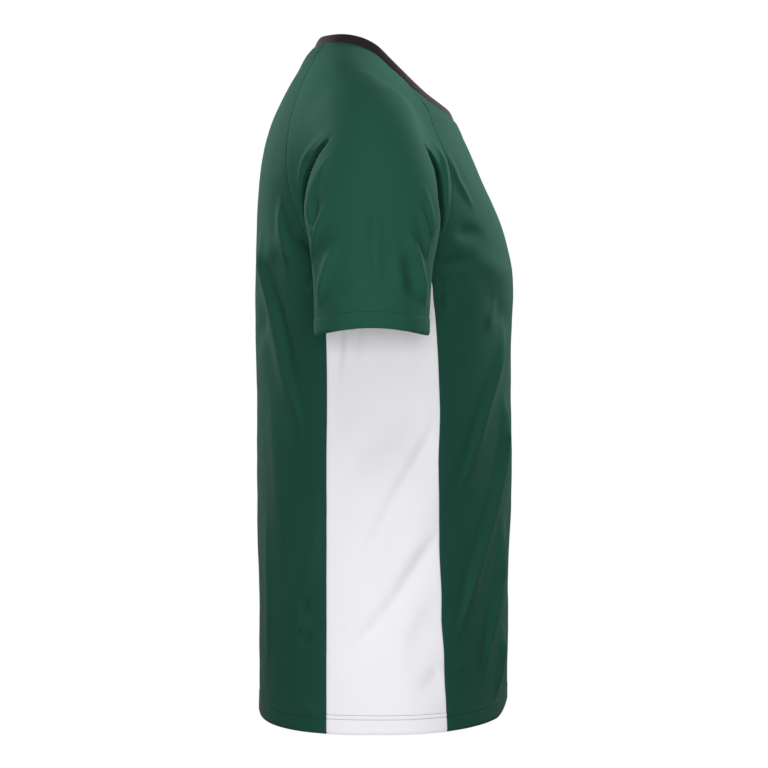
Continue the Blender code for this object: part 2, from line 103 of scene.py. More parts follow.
def placed_along(line: Array, shares: Array) -> Array:
    """Finds points along a line.

    Args:
        line: Closely spaced points, (n, 3).
        shares: Shares of the line's whole length, from 0 to 1.

    Returns:
        One point for each share.
    """
    run = run_of(line)
    return np.stack([np.interp(shares * run[-1], run, line[:, k]) for k in range(3)], axis=-1)


def spline_matrix(knots: int, shares: Array) -> Array:
    """Weights that read a smooth curve through evenly spaced knots.

    Args:
        knots: How many knots the curve has.
        shares: Where to read it, from 0 at the first knot to 1 at the last.

    Returns:
        A matrix with one row for each share and one column for each knot.
    """
    slope = (np.eye(knots, k=1) - np.eye(knots, k=-1)) / 2
    slope[0, :3] = (-1.5, 2.0, -0.5)
    slope[-1, -3:] = (0.5, -2.0, 1.5)
    at = shares * (knots - 1)
    low = np.clip(at.astype(int), 0, knots - 2)
    t = (at - low)[:, None]
    here = np.eye(knots)
    return (
        (1 + 2 * t) * (1 - t) ** 2 * here[low]
        + t * (1 - t) ** 2 * slope[low]
        + t * t * (3 - 2 * t) * here[low + 1]
        + t * t * (t - 1) * slope[low + 1]
    )


def graded(length: float, steps: Sequence[tuple[float, float]], both_ends: bool = True) -> Array:
    """Shares of a length in steps that grow away from its ends.

    Args:
        length: The length that the steps are laid along.
        steps: Pairs of distance from an end and the size of the step there.
        both_ends: Whether the far end is as fine as the near one.

    Returns:
        Rising shares from 0 to 1.
    """
    reach, size = np.array(steps).T
    end = length / 2 if both_ends else length
    marks = [0.0]
    while marks[-1] < end:
        marks.append(marks[-1] + float(np.interp(marks[-1], reach, size)))
    half = np.array(marks) * end / marks[-1]
    if both_ends:
        half = np.concatenate([half, length - half[-2::-1]])
    return half / length


def ripple(places: Array, size: float, seed: float) -> Array:
    """Smooth noise between -1 and 1.

    Args:
        places: Points, (..., 3).
        size: The length over which it changes.
        seed: Moves the pattern, so that two sides differ.

    Returns:
        One value for each point.
    """
    shifted = (places / size + np.array([seed, 1.7 * seed, -0.9 * seed])).reshape(-1, 3)
    return np.array([noise.noise(Vector(p)) for p in shifted]).reshape(places.shape[:-1])


# ---------------------------------------------------------------------------------------------------
# The worn form
# ---------------------------------------------------------------------------------------------------


class SmoothTable:
    """Named columns of sizes, read by smooth curves along the first column."""

    def __init__(self, names: str, rows: Sequence[Sequence[float]]) -> None:
        """Sorts the rows and works out each curve's slope at its knots.

        Args:
            names: The columns' names, with spaces between them.
            rows: The rows of the table, in any order.
        """
        data = np.array(sorted(rows))
        self.knots = data[:, 0]
        self.values = dict(zip(names.split(), data.T))
        self.slopes = {name: np.gradient(column, self.knots) for name, column in self.values.items()}

    def read(self, name: str, at: Array | float) -> Array:
        """Reads one column.

        Args:
            name: The column.
            at: Places along the first column.

        Returns:
            The column's value at each place, held level beyond the ends.
        """
        i = np.clip(np.searchsorted(self.knots, at) - 1, 0, len(self.knots) - 2)
        span = self.knots[i + 1] - self.knots[i]
        t = np.clip((at - self.knots[i]) / span, 0, 1)
        rise = (3 - 2 * t) * t * t
        value, slope = self.values[name], self.slopes[name]
        bend = (1 - t) * slope[i] - t * slope[i + 1]
        return (1 - rise) * value[i] + rise * value[i + 1] + span * t * (1 - t) * bend


@dataclass(frozen=True)
class Levels:
    """Heights and clearances that several pieces share."""

    hem: float = -0.675
    hem_rise: float = 0.0078
    hem_rise_height: float = 0.100
    hem_rise_half_width: float = 0.110
    hem_rise_fade: float = 0.065
    armpit: float = -0.232
    cuff: float = -0.2940
    cuff_bow: float = 0.0043
    clear_top: float = 0.0008
    clear_low: float = 0.0080
    turn: float = 0.0170


LEVELS = Levels()

TORSO = SmoothTable(
    "z half_width front back front_square back_square",
    (
        (0.010, 0.056, 0.010, 0.068, 2.00, 2.0),
        (-0.004, 0.084, -0.003, 0.0805, 2.00, 2.0),
        (-0.023, 0.127, -0.016, 0.0915, 1.85, 1.8),
        (-0.038, 0.158, -0.030, 0.1005, 1.75, 1.7),
        (-0.054, 0.181, -0.048, 0.109, 1.65, 1.7),
        (-0.071, 0.192, -0.071, 0.1165, 1.60, 1.8),
        (-0.093, 0.196, -0.083, 0.1235, 1.62, 2.0),
        (-0.135, 0.194, -0.1005, 0.130, 1.95, 2.3),
        (-0.180, 0.189, -0.1205, 0.133, 2.10, 2.3),
        (-0.222, 0.186, -0.131, 0.134, 2.15, 2.4),
        (-0.300, 0.186, -0.131, 0.133, 2.15, 2.5),
        (-0.420, 0.194, -0.1292, 0.1295, 2.15, 2.6),
        (-0.560, 0.203, -0.1275, 0.1290, 2.15, 2.7),
        (-0.675, 0.208, -0.1262, 0.1295, 2.15, 2.7),
    ),
)
ARM = SmoothTable(
    "z centre_x centre_y half_x half_y inner_square blend",
    (
        (-0.050, 0.166, 0.018, 0.004, 0.008, 2.0, 0.016),
        (-0.062, 0.174, 0.017, 0.020, 0.022, 2.0, 0.026),
        (-0.078, 0.184, 0.016, 0.037, 0.035, 2.0, 0.034),
        (-0.098, 0.192, 0.013, 0.0485, 0.0425, 2.0, 0.036),
        (-0.125, 0.200, 0.011, 0.055, 0.051, 2.0, 0.028),
        (-0.155, 0.208, 0.011, 0.060, 0.062, 2.2, 0.014),
        (-0.185, 0.218, 0.011, 0.061, 0.065, 3.0, 0.008),
        (-0.212, 0.226, 0.011, 0.060, 0.060, 4.5, 0.005),
        (-0.235, 0.232, 0.012, 0.059, 0.0565, 5.0, 0.004),
        (-0.262, 0.240, 0.012, 0.056, 0.0545, 3.5, 0.004),
        (-0.300, 0.248, 0.012, 0.054, 0.053, 2.5, 0.004),
    ),
)


class Form:
    """A closed shape, known by how far points lie outside it."""

    DIFFERENCE = 2e-4

    def value(self, p: Array) -> Array:
        """A measure that is zero on the form and grows outward."""
        raise NotImplementedError

    def read(self, p: Array) -> tuple[Array, Array]:
        """Measures points against the form.

        Args:
            p: Points, (..., 3).

        Returns:
            How far each lies outside the form, and the outward direction there.
        """
        step = self.DIFFERENCE
        slope = np.stack(
            [(self.value(p + step * axis) - self.value(p - step * axis)) / (2 * step) for axis in np.eye(3)],
            axis=-1,
        )
        length = np.linalg.norm(slope, axis=-1)
        return self.value(p) / length, slope / length[..., None]

    def outward(self, p: Array) -> Array:
        """The outward direction at points near the form."""
        return self.read(p)[1]

    def settled(self, p: Array, steps: int = 2) -> Array:
        """Moves points onto the form.

        Args:
            p: Points near the form.
            steps: How many times to correct them.

        Returns:
            The moved points.
        """
        for _ in range(steps):
            away, outward = self.read(p)
            p = p - away[..., None] * outward
        return p

    def met_along(self, p: Array, direction: Array, steps: int = 60) -> Array:
        """Moves points that start outside the form along one direction until they meet it.

        Args:
            p: Points outside the form.
            direction: The way that they travel, at length one.
            steps: How many steps they may take.

        Returns:
            The points where they meet the form.
        """
        for _ in range(steps):
            away, outward = self.read(p)
            rate = np.minimum(outward @ direction, -0.25)
            p = p - np.clip(away / rate, -0.02, 0.02)[..., None] * direction
        return p

    @staticmethod
    def oval(u: Array, v: Array, half_u: Array, half_v: Array, power: Array) -> Array:
        """How far (u, v) lies outside a rounded section, along the line to its middle."""
        u, v = np.abs(u) + 1e-9, np.abs(v) + 1e-9
        reach = ((u / half_u) ** power + (v / half_v) ** power) ** (1 / power)
        return np.hypot(u, v) * (1 - 1 / reach)


class TorsoForm(Form):
    """The torso's stack of sections."""

    def value(self, p: Array) -> Array:
        """How far points lie outside the section at their height."""
        z = p[..., 2]
        front, back = TORSO.read("front", z), TORSO.read("back", z)
        v = p[..., 1] - (front + back) / 2
        power = np.where(v < 0, TORSO.read("front_square", z), TORSO.read("back_square", z))
        return self.oval(p[..., 0], v, TORSO.read("half_width", z), (back - front) / 2, power)

    def turn_at(self, y: Array, z: Array) -> Array:
        """How far round the section a depth lies, 0 at the centre front and pi at the centre back."""
        front, back = TORSO.read("front", z), TORSO.read("back", z)
        v = (y - (front + back) / 2) / ((back - front) / 2)
        power = np.where(v < 0, TORSO.read("front_square", z), TORSO.read("back_square", z))
        around = np.arccos(np.clip(np.abs(v), 0, 1) ** (power / 2))
        return np.where(v < 0, around, np.pi - around)

    def on_section(self, turn: Array, z: float | Array) -> Array:
        """Points on the section.

        Args:
            turn: How far round the section they lie.
            z: The section's height.

        Returns:
            The points, (..., 3).
        """
        front, back = TORSO.read("front", z), TORSO.read("back", z)
        across, forward = np.sin(turn), np.cos(turn)
        power = np.where(forward > 0, TORSO.read("front_square", z), TORSO.read("back_square", z))
        x = TORSO.read("half_width", z) * np.sign(across) * np.abs(across) ** (2 / power)
        y = (front + back) / 2 - (back - front) / 2 * np.sign(forward) * np.abs(forward) ** (2 / power)
        return np.stack([x, y, np.broadcast_to(z, np.shape(x))], axis=-1)


class ArmForm(Form):
    """The arm's stack of sections, on whichever side a point lies."""

    def value(self, p: Array) -> Array:
        """How far points lie outside the section at their height."""
        z = p[..., 2]
        u = np.abs(p[..., 0]) - ARM.read("centre_x", z)
        v = p[..., 1] - ARM.read("centre_y", z)
        power = np.where(u < 0, ARM.read("inner_square", z), 2.1)
        above = np.maximum(0, z - ARM.knots[-1])
        return self.oval(u, v, ARM.read("half_x", z), ARM.read("half_y", z), power) + above


class WornForm(Form):
    """Torso and arms together, blended where they meet. Under the armpit it is the torso alone."""

    def __init__(self, torso: TorsoForm, arm: ArmForm) -> None:
        """Keeps the two forms that it joins."""
        self.torso, self.arm = torso, arm

    def read(self, p: Array) -> tuple[Array, Array]:
        """Distance outside and outward direction, as in Form.read."""
        body, body_out = self.torso.read(p)
        limb, limb_out = self.arm.read(p)
        limb = limb + 3 * np.maximum(0, LEVELS.armpit - p[..., 2])
        width = ARM.read("blend", p[..., 2])
        near = np.maximum(width - np.abs(body - limb), 0) / width
        nearer = (body <= limb)[..., None]
        share = (near / 2)[..., None]
        first, second = np.where(nearer, body_out, limb_out), np.where(nearer, limb_out, body_out)
        outward = first * (1 - share) + second * share
        return np.minimum(body, limb) - near * near * width / 4, unit(outward)


class SleeveForm(Form):
    """The arm below the armpit, kept clear of the torso."""

    SOFTNESS = 0.004

    def __init__(self, torso: TorsoForm, arm: ArmForm) -> None:
        """Keeps the two forms that it lies between."""
        self.torso, self.arm = torso, arm

    def read(self, p: Array) -> tuple[Array, Array]:
        """Distance outside and outward direction, as in Form.read."""
        limb, limb_out = self.arm.read(p)
        body, body_out = self.torso.read(p)
        down = np.clip((p[..., 2] - LEVELS.armpit) / (LEVELS.cuff - LEVELS.armpit), 0, 1)
        clear = LEVELS.clear_top + (LEVELS.clear_low - LEVELS.clear_top) * down
        inner = clear - body
        near = np.maximum(self.SOFTNESS - np.abs(limb - inner), 0) / self.SOFTNESS
        farther = (limb >= inner)[..., None]
        share = (near / 2)[..., None]
        first, second = np.where(farther, limb_out, -body_out), np.where(farther, -body_out, limb_out)
        outward = first * (1 - share) + second * share
        return np.maximum(limb, inner) + near * near * self.SOFTNESS / 4, unit(outward)


TORSO_FORM = TorsoForm()
ARM_FORM = ArmForm()
WORN = WornForm(TORSO_FORM, ARM_FORM)
SLEEVE = SleeveForm(TORSO_FORM, ARM_FORM)


# ---------------------------------------------------------------------------------------------------
# Seam lines and pattern pieces
# ---------------------------------------------------------------------------------------------------


@dataclass
class Patch:
    """A grid of places on a form. Its rows run down and its columns to the right, seen from outside."""

    points: Array
    outward: Array
    flat: Array

    @classmethod
    def laid(cls, points: Array, outward: Array, middle: int, level: int) -> "Patch":
        """Gives a grid its flat sizes.

        Args:
            points: The grid, (rows, columns, 3).
            outward: Outward directions.
            middle: The column that the flat widths are measured from.
            level: The row that the flat lengths are measured from.

        Returns:
            The patch.
        """
        widths = np.zeros(points.shape[:2])
        widths[:, 1:] = np.cumsum(np.linalg.norm(np.diff(points, axis=1), axis=-1), axis=1)
        lengths = np.zeros(points.shape[:2])
        lengths[1:] = np.cumsum(np.linalg.norm(np.diff(points, axis=0), axis=-1), axis=0)
        flat = np.stack([widths - widths[:, middle : middle + 1], lengths[level] - lengths], axis=-1)
        return cls(points, outward, flat)

    def on_side(self, side: Side) -> "Patch":
        """The patch, or its mirror image on the wearer's right."""
        if side is Side.LEFT:
            return self
        return Patch(self.points * MIRROR, self.outward * MIRROR, self.flat * np.array([-1.0, 1.0]))

    def calmed(self, rounds: int, weight: Array | float = 1.0) -> "Patch":
        """Evens out the form's bending inside the patch, and leaves its edges where they are.

        Args:
            rounds: How many times each point moves toward its neighbours' middle.
            weight: How much of each move a point makes, from 0 to 1.

        Returns:
            The calmer patch.
        """
        p, outward = self.points.copy(), self.outward[1:-1, 1:-1]
        weights = np.broadcast_to(weight, self.points.shape[:2])[1:-1, 1:-1]
        for _ in range(rounds):
            middle = (p[:-2, 1:-1] + p[2:, 1:-1] + p[1:-1, :-2] + p[1:-1, 2:]) / 4
            across = ((middle - p[1:-1, 1:-1]) * outward).sum(axis=-1)
            p[1:-1, 1:-1] += outward * (across * weights)[..., None]
        return Patch(p, self.outward, self.flat)

    def with_risen_hem(self) -> "Patch":
        """The front with its lowest rows lifted toward the centre front."""
        inward = eased((LEVELS.hem_rise_half_width - np.abs(self.points[..., 0])) / LEVELS.hem_rise_fade)
        low = np.clip(1 - (self.points[..., 2] - LEVELS.hem) / LEVELS.hem_rise_height, 0, 1)
        points = self.points.copy()
        points[..., 2] += LEVELS.hem_rise * inward * low
        return Patch(points, self.outward, self.flat)

    def above_edge(self) -> Array:
        """How far up the cloth from the last row each point lies."""
        return self.flat[..., 1] - self.flat[-1, :, 1]


@dataclass
class Pattern:
    """The jersey's seam lines on the worn form and the grids between them."""

    neck_half_width: float = 0.080
    neck_widest_y: float = 0.020
    neck_front_y: float = -0.072
    neck_back_y: float = 0.073
    neck_rough_levels: tuple[float, float, float] = (-0.070, -0.008, 0.004)
    neck_back_square: float = 2.5
    raglan_front_neck_y: float = -0.020
    raglan_back_neck_y: float = 0.061
    seam_smoothing: int = 60
    relax_steps: int = 60
    coarse_rows: int = 10
    coarse_columns: int = 20
    raglan_front: tuple[tuple[float, float], ...] = (
        (-0.065, -0.036),
        (-0.095, -0.0495),
        (-0.126, -0.0620),
        (-0.157, -0.0655),
        (-0.185, -0.0622),
        (-0.212, -0.0510),
        (-0.232, -0.0375),
    )
    raglan_back: tuple[tuple[float, float], ...] = (
        (-0.031, 0.0757),
        (-0.060, 0.0870),
        (-0.090, 0.0935),
        (-0.125, 0.0955),
        (-0.155, 0.0935),
        (-0.182, 0.0855),
        (-0.206, 0.0745),
        (-0.232, 0.0590),
    )
    side_front: tuple[tuple[float, float], ...] = (
        (-0.232, -0.0375),
        (-0.242, -0.0435),
        (-0.265, -0.0470),
        (-0.350, -0.0525),
        (-0.450, -0.0520),
        (-0.560, -0.0550),
        (-0.675, -0.0597),
    )
    side_back: tuple[tuple[float, float], ...] = (
        (-0.232, 0.0590),
        (-0.262, 0.0585),
        (-0.300, 0.0570),
        (-0.450, 0.0565),
        (-0.675, 0.0560),
    )
    # Steps of the grids, each as distance from an edge and size of step there
    body_steps: tuple[tuple[float, float], ...] = (
        (0, 0.0004),
        (0.004, 0.0012),
        (0.012, 0.0015),
        (0.095, 0.0016),
        (0.112, 0.0040),
        (0.160, 0.0085),
    )
    side_steps: tuple[tuple[float, float], ...] = ((0, 0.0004), (0.004, 0.0012), (0.014, 0.0025))
    sleeve_steps: tuple[tuple[float, float], ...] = (
        (0, 0.0004),
        (0.003, 0.0009),
        (0.008, 0.0013),
        (0.112, 0.0014),
        (0.132, 0.0032),
    )
    neck_steps: tuple[tuple[float, float], ...] = (
        (0, 0.0004),
        (0.004, 0.0009),
        (0.010, 0.0014),
        (0.030, 0.0033),
        (0.080, 0.0026),
    )
    hem_steps: tuple[tuple[float, float], ...] = (
        (0, 0.0006),
        (0.004, 0.0010),
        (0.022, 0.0010),
        (0.032, 0.0040),
        (0.360, 0.0040),
        (0.400, 0.0028),
    )
    cuff_rise: float = 0.0031
    cuff_steps: tuple[tuple[float, float], ...] = (
        (0, 0.0006),
        (0.004, 0.0010),
        (0.022, 0.0010),
        (0.040, 0.0022),
    )
    # Rough widths that the steps across a piece are laid along
    body_width: float = 0.46
    side_width: float = 0.115

    def __post_init__(self) -> None:
        """Works out the seams and the shares that adjoining grids have in common."""
        self.neck_half = self.neckline()
        self.front_seam = self.raglan_seam(self.raglan_front, self.raglan_front_neck_y)
        self.back_seam = self.raglan_seam(self.raglan_back, self.raglan_back_neck_y)
        self.side_tables = tuple(SmoothTable("z y", rows) for rows in (self.side_front, self.side_back))
        yoke_length = (run_of(self.front_seam)[-1] + run_of(self.back_seam)[-1]) / 2
        self.yoke_shares = graded(yoke_length, self.neck_steps, both_ends=False)
        depth = LEVELS.armpit - LEVELS.hem
        self.body_levels = LEVELS.hem + depth * graded(depth, self.hem_steps, both_ends=False)[::-1]
        self.side_shares = graded(self.side_width, self.side_steps)

    def neckline(self) -> Array:
        """The neck seam's left half on the torso, from the centre front to the centre back."""
        turn = np.linspace(0, np.pi, 721)
        across, forward = np.sin(turn), np.cos(turn)
        power = np.where(forward > 0, 1.0, 2 / self.neck_back_square)
        reach = np.where(
            forward > 0, self.neck_widest_y - self.neck_front_y, self.neck_back_y - self.neck_widest_y
        )
        x = self.neck_half_width * across**power
        y = self.neck_widest_y - reach * np.sign(forward) * np.abs(forward) ** power
        marks = [self.neck_front_y, self.neck_widest_y, self.neck_back_y]
        start = np.interp(y, marks, self.neck_rough_levels)
        p = np.stack([x, y, start], axis=-1)
        for _ in range(12):
            away, outward = TORSO_FORM.read(p)
            p = p - (away / np.maximum(outward[:, 2], 0.05))[:, None] * UP
        return p

    def neck_arc(self, low_y: float, high_y: float, shares: Array) -> Array:
        """Points along the left half of the neckline.

        Args:
            low_y: The depth where the arc starts.
            high_y: The depth where it ends, farther back.
            shares: Where the points lie along it.

        Returns:
            The points, from front to back.
        """
        half = self.neck_half
        ends = [np.array([np.interp(y, half[:, 1], half[:, k]) for k in range(3)]) for y in (low_y, high_y)]
        between = half[(half[:, 1] > low_y) & (half[:, 1] < high_y)]
        return placed_along(np.vstack([ends[0], between, ends[1]]), shares)

    def raglan_seam(self, rows: Sequence[tuple[float, float]], neck_y: float) -> Array:
        """A raglan seam on the left, from the neckline to the armpit.

        Args:
            rows: Heights and depths that the seam passes, seen from the side.
            neck_y: Its depth on the neckline.

        Returns:
            Closely spaced points on the worn form.
        """
        top = self.neck_arc(neck_y, neck_y + 1e-3, np.array([0.0]))[0]
        z = np.linspace(top[2], LEVELS.armpit, 120)
        y = SmoothTable("z y", ((top[2], top[1]), *rows)).read("y", z)
        line = WORN.settled(TORSO_FORM.on_section(TORSO_FORM.turn_at(y, z), z), 10)
        line[0] = top
        for _ in range(self.seam_smoothing):
            line[1:-1] = WORN.settled((line[:-2] + line[2:]) / 2, 1)
        return line

    def side_turns(self, z: float) -> tuple[float, float]:
        """Where the side panel's front and back seams lie round the section, on the left."""
        return tuple(float(TORSO_FORM.turn_at(table.read("y", z), z)) for table in self.side_tables)

    def side_seam(self, which: int) -> Array:
        """The side panel's front (0) or back (1) seam on the left, from the armpit to the hem."""
        turns = [np.array(self.side_turns(z)[which]) for z in self.body_levels]
        return np.array([TORSO_FORM.on_section(turn, z) for turn, z in zip(turns, self.body_levels)])

    def section_rows(self, levels: Array, turns: Any, shares: Array) -> Array:
        """Rows of points round the torso.

        Args:
            levels: The rows' heights.
            turns: Gives the first and last turn at a height.
            shares: Where the points lie along each row.

        Returns:
            The grid, (rows, columns, 3).
        """
        return np.array(
            [placed_along(TORSO_FORM.on_section(np.linspace(*turns(z), 600), z), shares) for z in levels]
        )

    def filled(
        self, edges: tuple[Array, Array, Array, Array], down: Array, across: Array, form: Form
    ) -> Array:
        """A fine grid on a form between four edges.

        Args:
            edges: The top, bottom, first and last edge, each as closely spaced points.
            down: Where the rows lie, as shares of the first and last edge.
            across: Where the columns lie, as shares of the top and bottom edge.
            form: The form that the grid lies on.

        Returns:
            The grid, (rows, columns, 3). Its edges lie exactly on the given ones.
        """
        rows, columns = np.linspace(0, 1, self.coarse_rows + 1), np.linspace(0, 1, self.coarse_columns + 1)
        grid = self.coons(edges, rows, columns)
        for step in range(self.relax_steps + 1):
            inner = (grid[:-2, 1:-1] + grid[2:, 1:-1] + grid[1:-1, :-2] + grid[1:-1, 2:]) / 4
            grid[1:-1, 1:-1] = form.settled(inner, 4 if step == self.relax_steps else 1)
        fine = np.einsum(
            "ia,jb,abk->ijk", spline_matrix(len(rows), down), spline_matrix(len(columns), across), grid
        )
        exact = self.coons(edges, down, across)
        gap = exact - fine
        missed = self.coons_of(gap[0], gap[-1], gap[:, 0], gap[:, -1], down, across)
        fine = form.settled(fine + missed, 3)
        fine[0], fine[-1], fine[:, 0], fine[:, -1] = exact[0], exact[-1], exact[:, 0], exact[:, -1]
        return fine

    def coons(self, edges: tuple[Array, Array, Array, Array], down: Array, across: Array) -> Array:
        """A plain blend between four edges, read at these shares of their lengths."""
        top, bottom = placed_along(edges[0], across), placed_along(edges[1], across)
        first, last = placed_along(edges[2], down), placed_along(edges[3], down)
        return self.coons_of(top, bottom, first, last, down, across)

    @staticmethod
    def coons_of(top: Array, bottom: Array, first: Array, last: Array, down: Array, across: Array) -> Array:
        """Blends four edges of points into a grid.

        Args:
            top: The top edge's points.
            bottom: The bottom edge's points.
            first: The first column's points.
            last: The last column's points.
            down: The rows' shares.
            across: The columns' shares.

        Returns:
            The grid, (rows, columns, 3).
        """
        d, a = down[:, None, None], across[None, :, None]
        corners = (1 - d) * ((1 - a) * top[0] + a * top[-1]) + d * ((1 - a) * bottom[0] + a * bottom[-1])
        grid = (1 - d) * top + d * bottom + (1 - a) * first[:, None] + a * last[:, None] - corners
        grid[0], grid[-1], grid[:, 0], grid[:, -1] = top, bottom, first, last
        return grid

    def body_patch(self, top: Array, first: Array, last: Array, turns: Any, shares: Array) -> Patch:
        """A front or back: its yoke between the raglan seams, then even rows down to the hem.

        Args:
            top: Its part of the neckline.
            first: The seam down its first side.
            last: The seam down its last side.
            turns: Gives where its sides lie round the torso at a height.
            shares: Where its columns lie.

        Returns:
            The patch.
        """
        rows = self.section_rows(self.body_levels, turns, shares)
        bottom = np.vstack([first[-1:], rows[0][1:-1], last[-1:]])
        # The bottom edge is read at its own shares, so it's handed over with them evened out
        even = np.stack([np.interp(np.linspace(0, 1, 900), shares, bottom[:, k]) for k in range(3)], axis=-1)
        yoke = self.filled((top, even, first, last), self.yoke_shares, shares, WORN)
        yoke[-1] = bottom
        points = np.concatenate([yoke, rows[1:]])
        above = (points[..., 2] > LEVELS.armpit + 1e-6)[..., None]
        outward = np.where(above, WORN.outward(points), TORSO_FORM.outward(points))
        outward[len(yoke) - 1] = WORN.outward(points[len(yoke) - 1])
        return Patch.laid(points, outward, len(shares) // 2, len(yoke) - 1)

    def front(self) -> Patch:
        """The front, from the wearer's right to the wearer's left."""
        half = self.neck_arc(self.neck_front_y, self.raglan_front_neck_y, np.linspace(0, 1, 300))
        top = np.vstack([half[::-1] * MIRROR, half[1:]])
        return self.body_patch(
            top,
            self.front_seam * MIRROR,
            self.front_seam,
            lambda z: (-self.side_turns(z)[0], self.side_turns(z)[0]),
            graded(self.body_width, self.body_steps),
        ).with_risen_hem()

    def back(self) -> Patch:
        """The back, from the wearer's left to the wearer's right."""
        half = self.neck_arc(self.raglan_back_neck_y, self.neck_back_y, np.linspace(0, 1, 300))
        top = np.vstack([half, half[-2::-1] * MIRROR])
        return self.body_patch(
            top,
            self.back_seam,
            self.back_seam * MIRROR,
            lambda z: (self.side_turns(z)[1], 2 * np.pi - self.side_turns(z)[1]),
            graded(self.body_width, self.body_steps),
        )

    def side_panel(self) -> Patch:
        """The left side panel, from its front seam to its back seam."""
        points = self.section_rows(self.body_levels, self.side_turns, self.side_shares)
        return Patch.laid(points, TORSO_FORM.outward(points), len(self.side_shares) // 2, 0)

    def sleeve_ring(self, turns: Array, z: Array | float) -> Array:
        """The sleeve's points at these turns round the arm's middle, 0 toward the outer side."""
        z = np.broadcast_to(z, turns.shape)
        centre = np.stack([ARM.read("centre_x", z), ARM.read("centre_y", z), z], axis=-1)
        ray = np.stack([np.cos(turns), np.sin(turns), np.zeros_like(turns)], axis=-1)
        near, far = np.zeros(turns.shape), np.full(turns.shape, 0.12)
        for _ in range(30):
            middle = (near + far) / 2
            outside = SLEEVE.read(centre + ray * middle[..., None])[0] > 0
            far = np.where(outside, middle, far)
            near = np.where(outside, near, middle)
        return centre + ray * ((near + far) / 2)[..., None]

    @staticmethod
    def turn_round_arm(p: Array, z: float) -> Array:
        """The direction of points from the arm's middle, 0 toward the outer side."""
        return np.arctan2(p[..., 1] - ARM.read("centre_y", z), p[..., 0] - ARM.read("centre_x", z))

    def sleeve(self) -> tuple[Patch, Patch]:
        """The left sleeve.

        Returns:
            The part above the armpit, and the closed tube below it, whose first row goes on from the
            upper part's last row and then round under the arm. Its last column is its first one again.
        """
        top = self.neck_arc(self.raglan_front_neck_y, self.raglan_back_neck_y, np.linspace(0, 1, 300))
        first, last = self.front_seam, self.back_seam
        ends = tuple(float(self.turn_round_arm(seam[-1], LEVELS.armpit)) for seam in (first, last))
        outer = self.sleeve_ring(np.linspace(*ends, 900), LEVELS.armpit)
        outer[0], outer[-1] = first[-1], last[-1]
        shares = graded(run_of(outer)[-1], self.sleeve_steps)
        upper = self.filled((top, outer, first, last), self.yoke_shares, shares, WORN)
        under = self.sleeve_ring(np.linspace(ends[1], ends[0] + 2 * np.pi, 300), LEVELS.armpit)
        under = placed_along(under, graded(run_of(under)[-1], self.side_steps))
        under[0], under[-1] = last[-1], first[-1]
        ring = np.vstack([upper[-1], under[1:]])
        turns = np.unwrap(self.turn_round_arm(ring, LEVELS.armpit))
        cuff = self.sleeve_ring(np.linspace(turns[0], turns[0] + 2 * np.pi, 1200), LEVELS.cuff)
        spread = placed_along(cuff, run_of(ring) / run_of(ring)[-1])
        even = np.unwrap(self.turn_round_arm(spread, LEVELS.cuff))
        even = even + np.mean((turns - even)[:-1])
        depth = LEVELS.armpit - LEVELS.cuff
        down = 1 - graded(depth, self.cuff_steps, both_ends=False)[::-1]
        rows = [ring]
        for share in down[1:]:
            turned = turns + (even - turns) * share
            row = self.sleeve_ring(turned, LEVELS.armpit - depth * share)
            inner, outer = ((1 - np.cos(turns)) / 2) ** 2, ((1 + np.cos(turns)) / 2) ** 2
            row[:, 2] += share * (LEVELS.cuff_bow * np.cos(2 * turns) + self.cuff_rise * (inner - outer))
            rows.append(row)
        lower = np.array(rows)
        above, below = WORN.outward(upper), SLEEVE.outward(lower)
        below[0, : len(shares)] = above[-1]
        below[0, -1] = above[-1, 0]
        level = len(upper) - 1
        high = Patch.laid(upper, above, len(shares) // 2, level)
        inset = eased(np.minimum(shares, 1 - shares) / 0.08)
        high = high.calmed(24, 0.9 * inset * eased(high.above_edge() / 0.050))
        low = Patch.laid(lower, below, len(shares) // 2, 0)
        return high, low


# ---------------------------------------------------------------------------------------------------
# Creases and seams in the cloth
# ---------------------------------------------------------------------------------------------------


class Trail:
    """A line in space that points of cloth are measured against."""

    CHUNK = 4000

    def __init__(self, points: Array) -> None:
        """Keeps the line and its run."""
        self.points = points
        self.run = run_of(points)

    def on_side(self, side: Side) -> "Trail":
        """The line, or its mirror image on the wearer's right."""
        return self if side is Side.LEFT else Trail(self.points * MIRROR)

    def measure(self, p: Array, outward: Array, reach: float) -> tuple[Array, Array, Array]:
        """Measures points near the line.

        Args:
            p: Points, (n, 3).
            outward: Outward directions of the cloth at them.
            reach: How far from the line a point may lie.

        Returns:
            The numbers of the points within reach, their distances from the line, which are negative on
            one side of it, and how far along it they lie in metres.
        """
        low, high = self.points.min(axis=0) - reach, self.points.max(axis=0) + reach
        boxed = np.flatnonzero(((p > low) & (p < high)).all(axis=-1))
        starts, spans = self.points[:-1], np.diff(self.points, axis=0)
        squares = np.maximum((spans**2).sum(axis=-1), 1e-18)
        found, aways, alongs = [], [], []
        for begin in range(0, len(boxed), self.CHUNK):
            numbers = boxed[begin : begin + self.CHUNK]
            offsets = p[numbers, None] - starts
            t = np.clip((offsets * spans).sum(axis=-1) / squares, 0, 1)
            gaps = offsets - t[..., None] * spans
            distance = np.linalg.norm(gaps, axis=-1)
            k = distance.argmin(axis=1)
            row = np.arange(len(numbers))
            near = distance[row, k]
            side = np.sign((np.cross(spans[k], outward[numbers]) * gaps[row, k]).sum(axis=-1) + 1e-15)
            kept = near < reach
            found.append(numbers[kept])
            aways.append((near * side)[kept])
            alongs.append((self.run[k] + t[row, k] * np.sqrt(squares[k]))[kept])
        if not found:
            return np.zeros(0, int), np.zeros(0), np.zeros(0)
        return np.concatenate(found), np.concatenate(aways), np.concatenate(alongs)


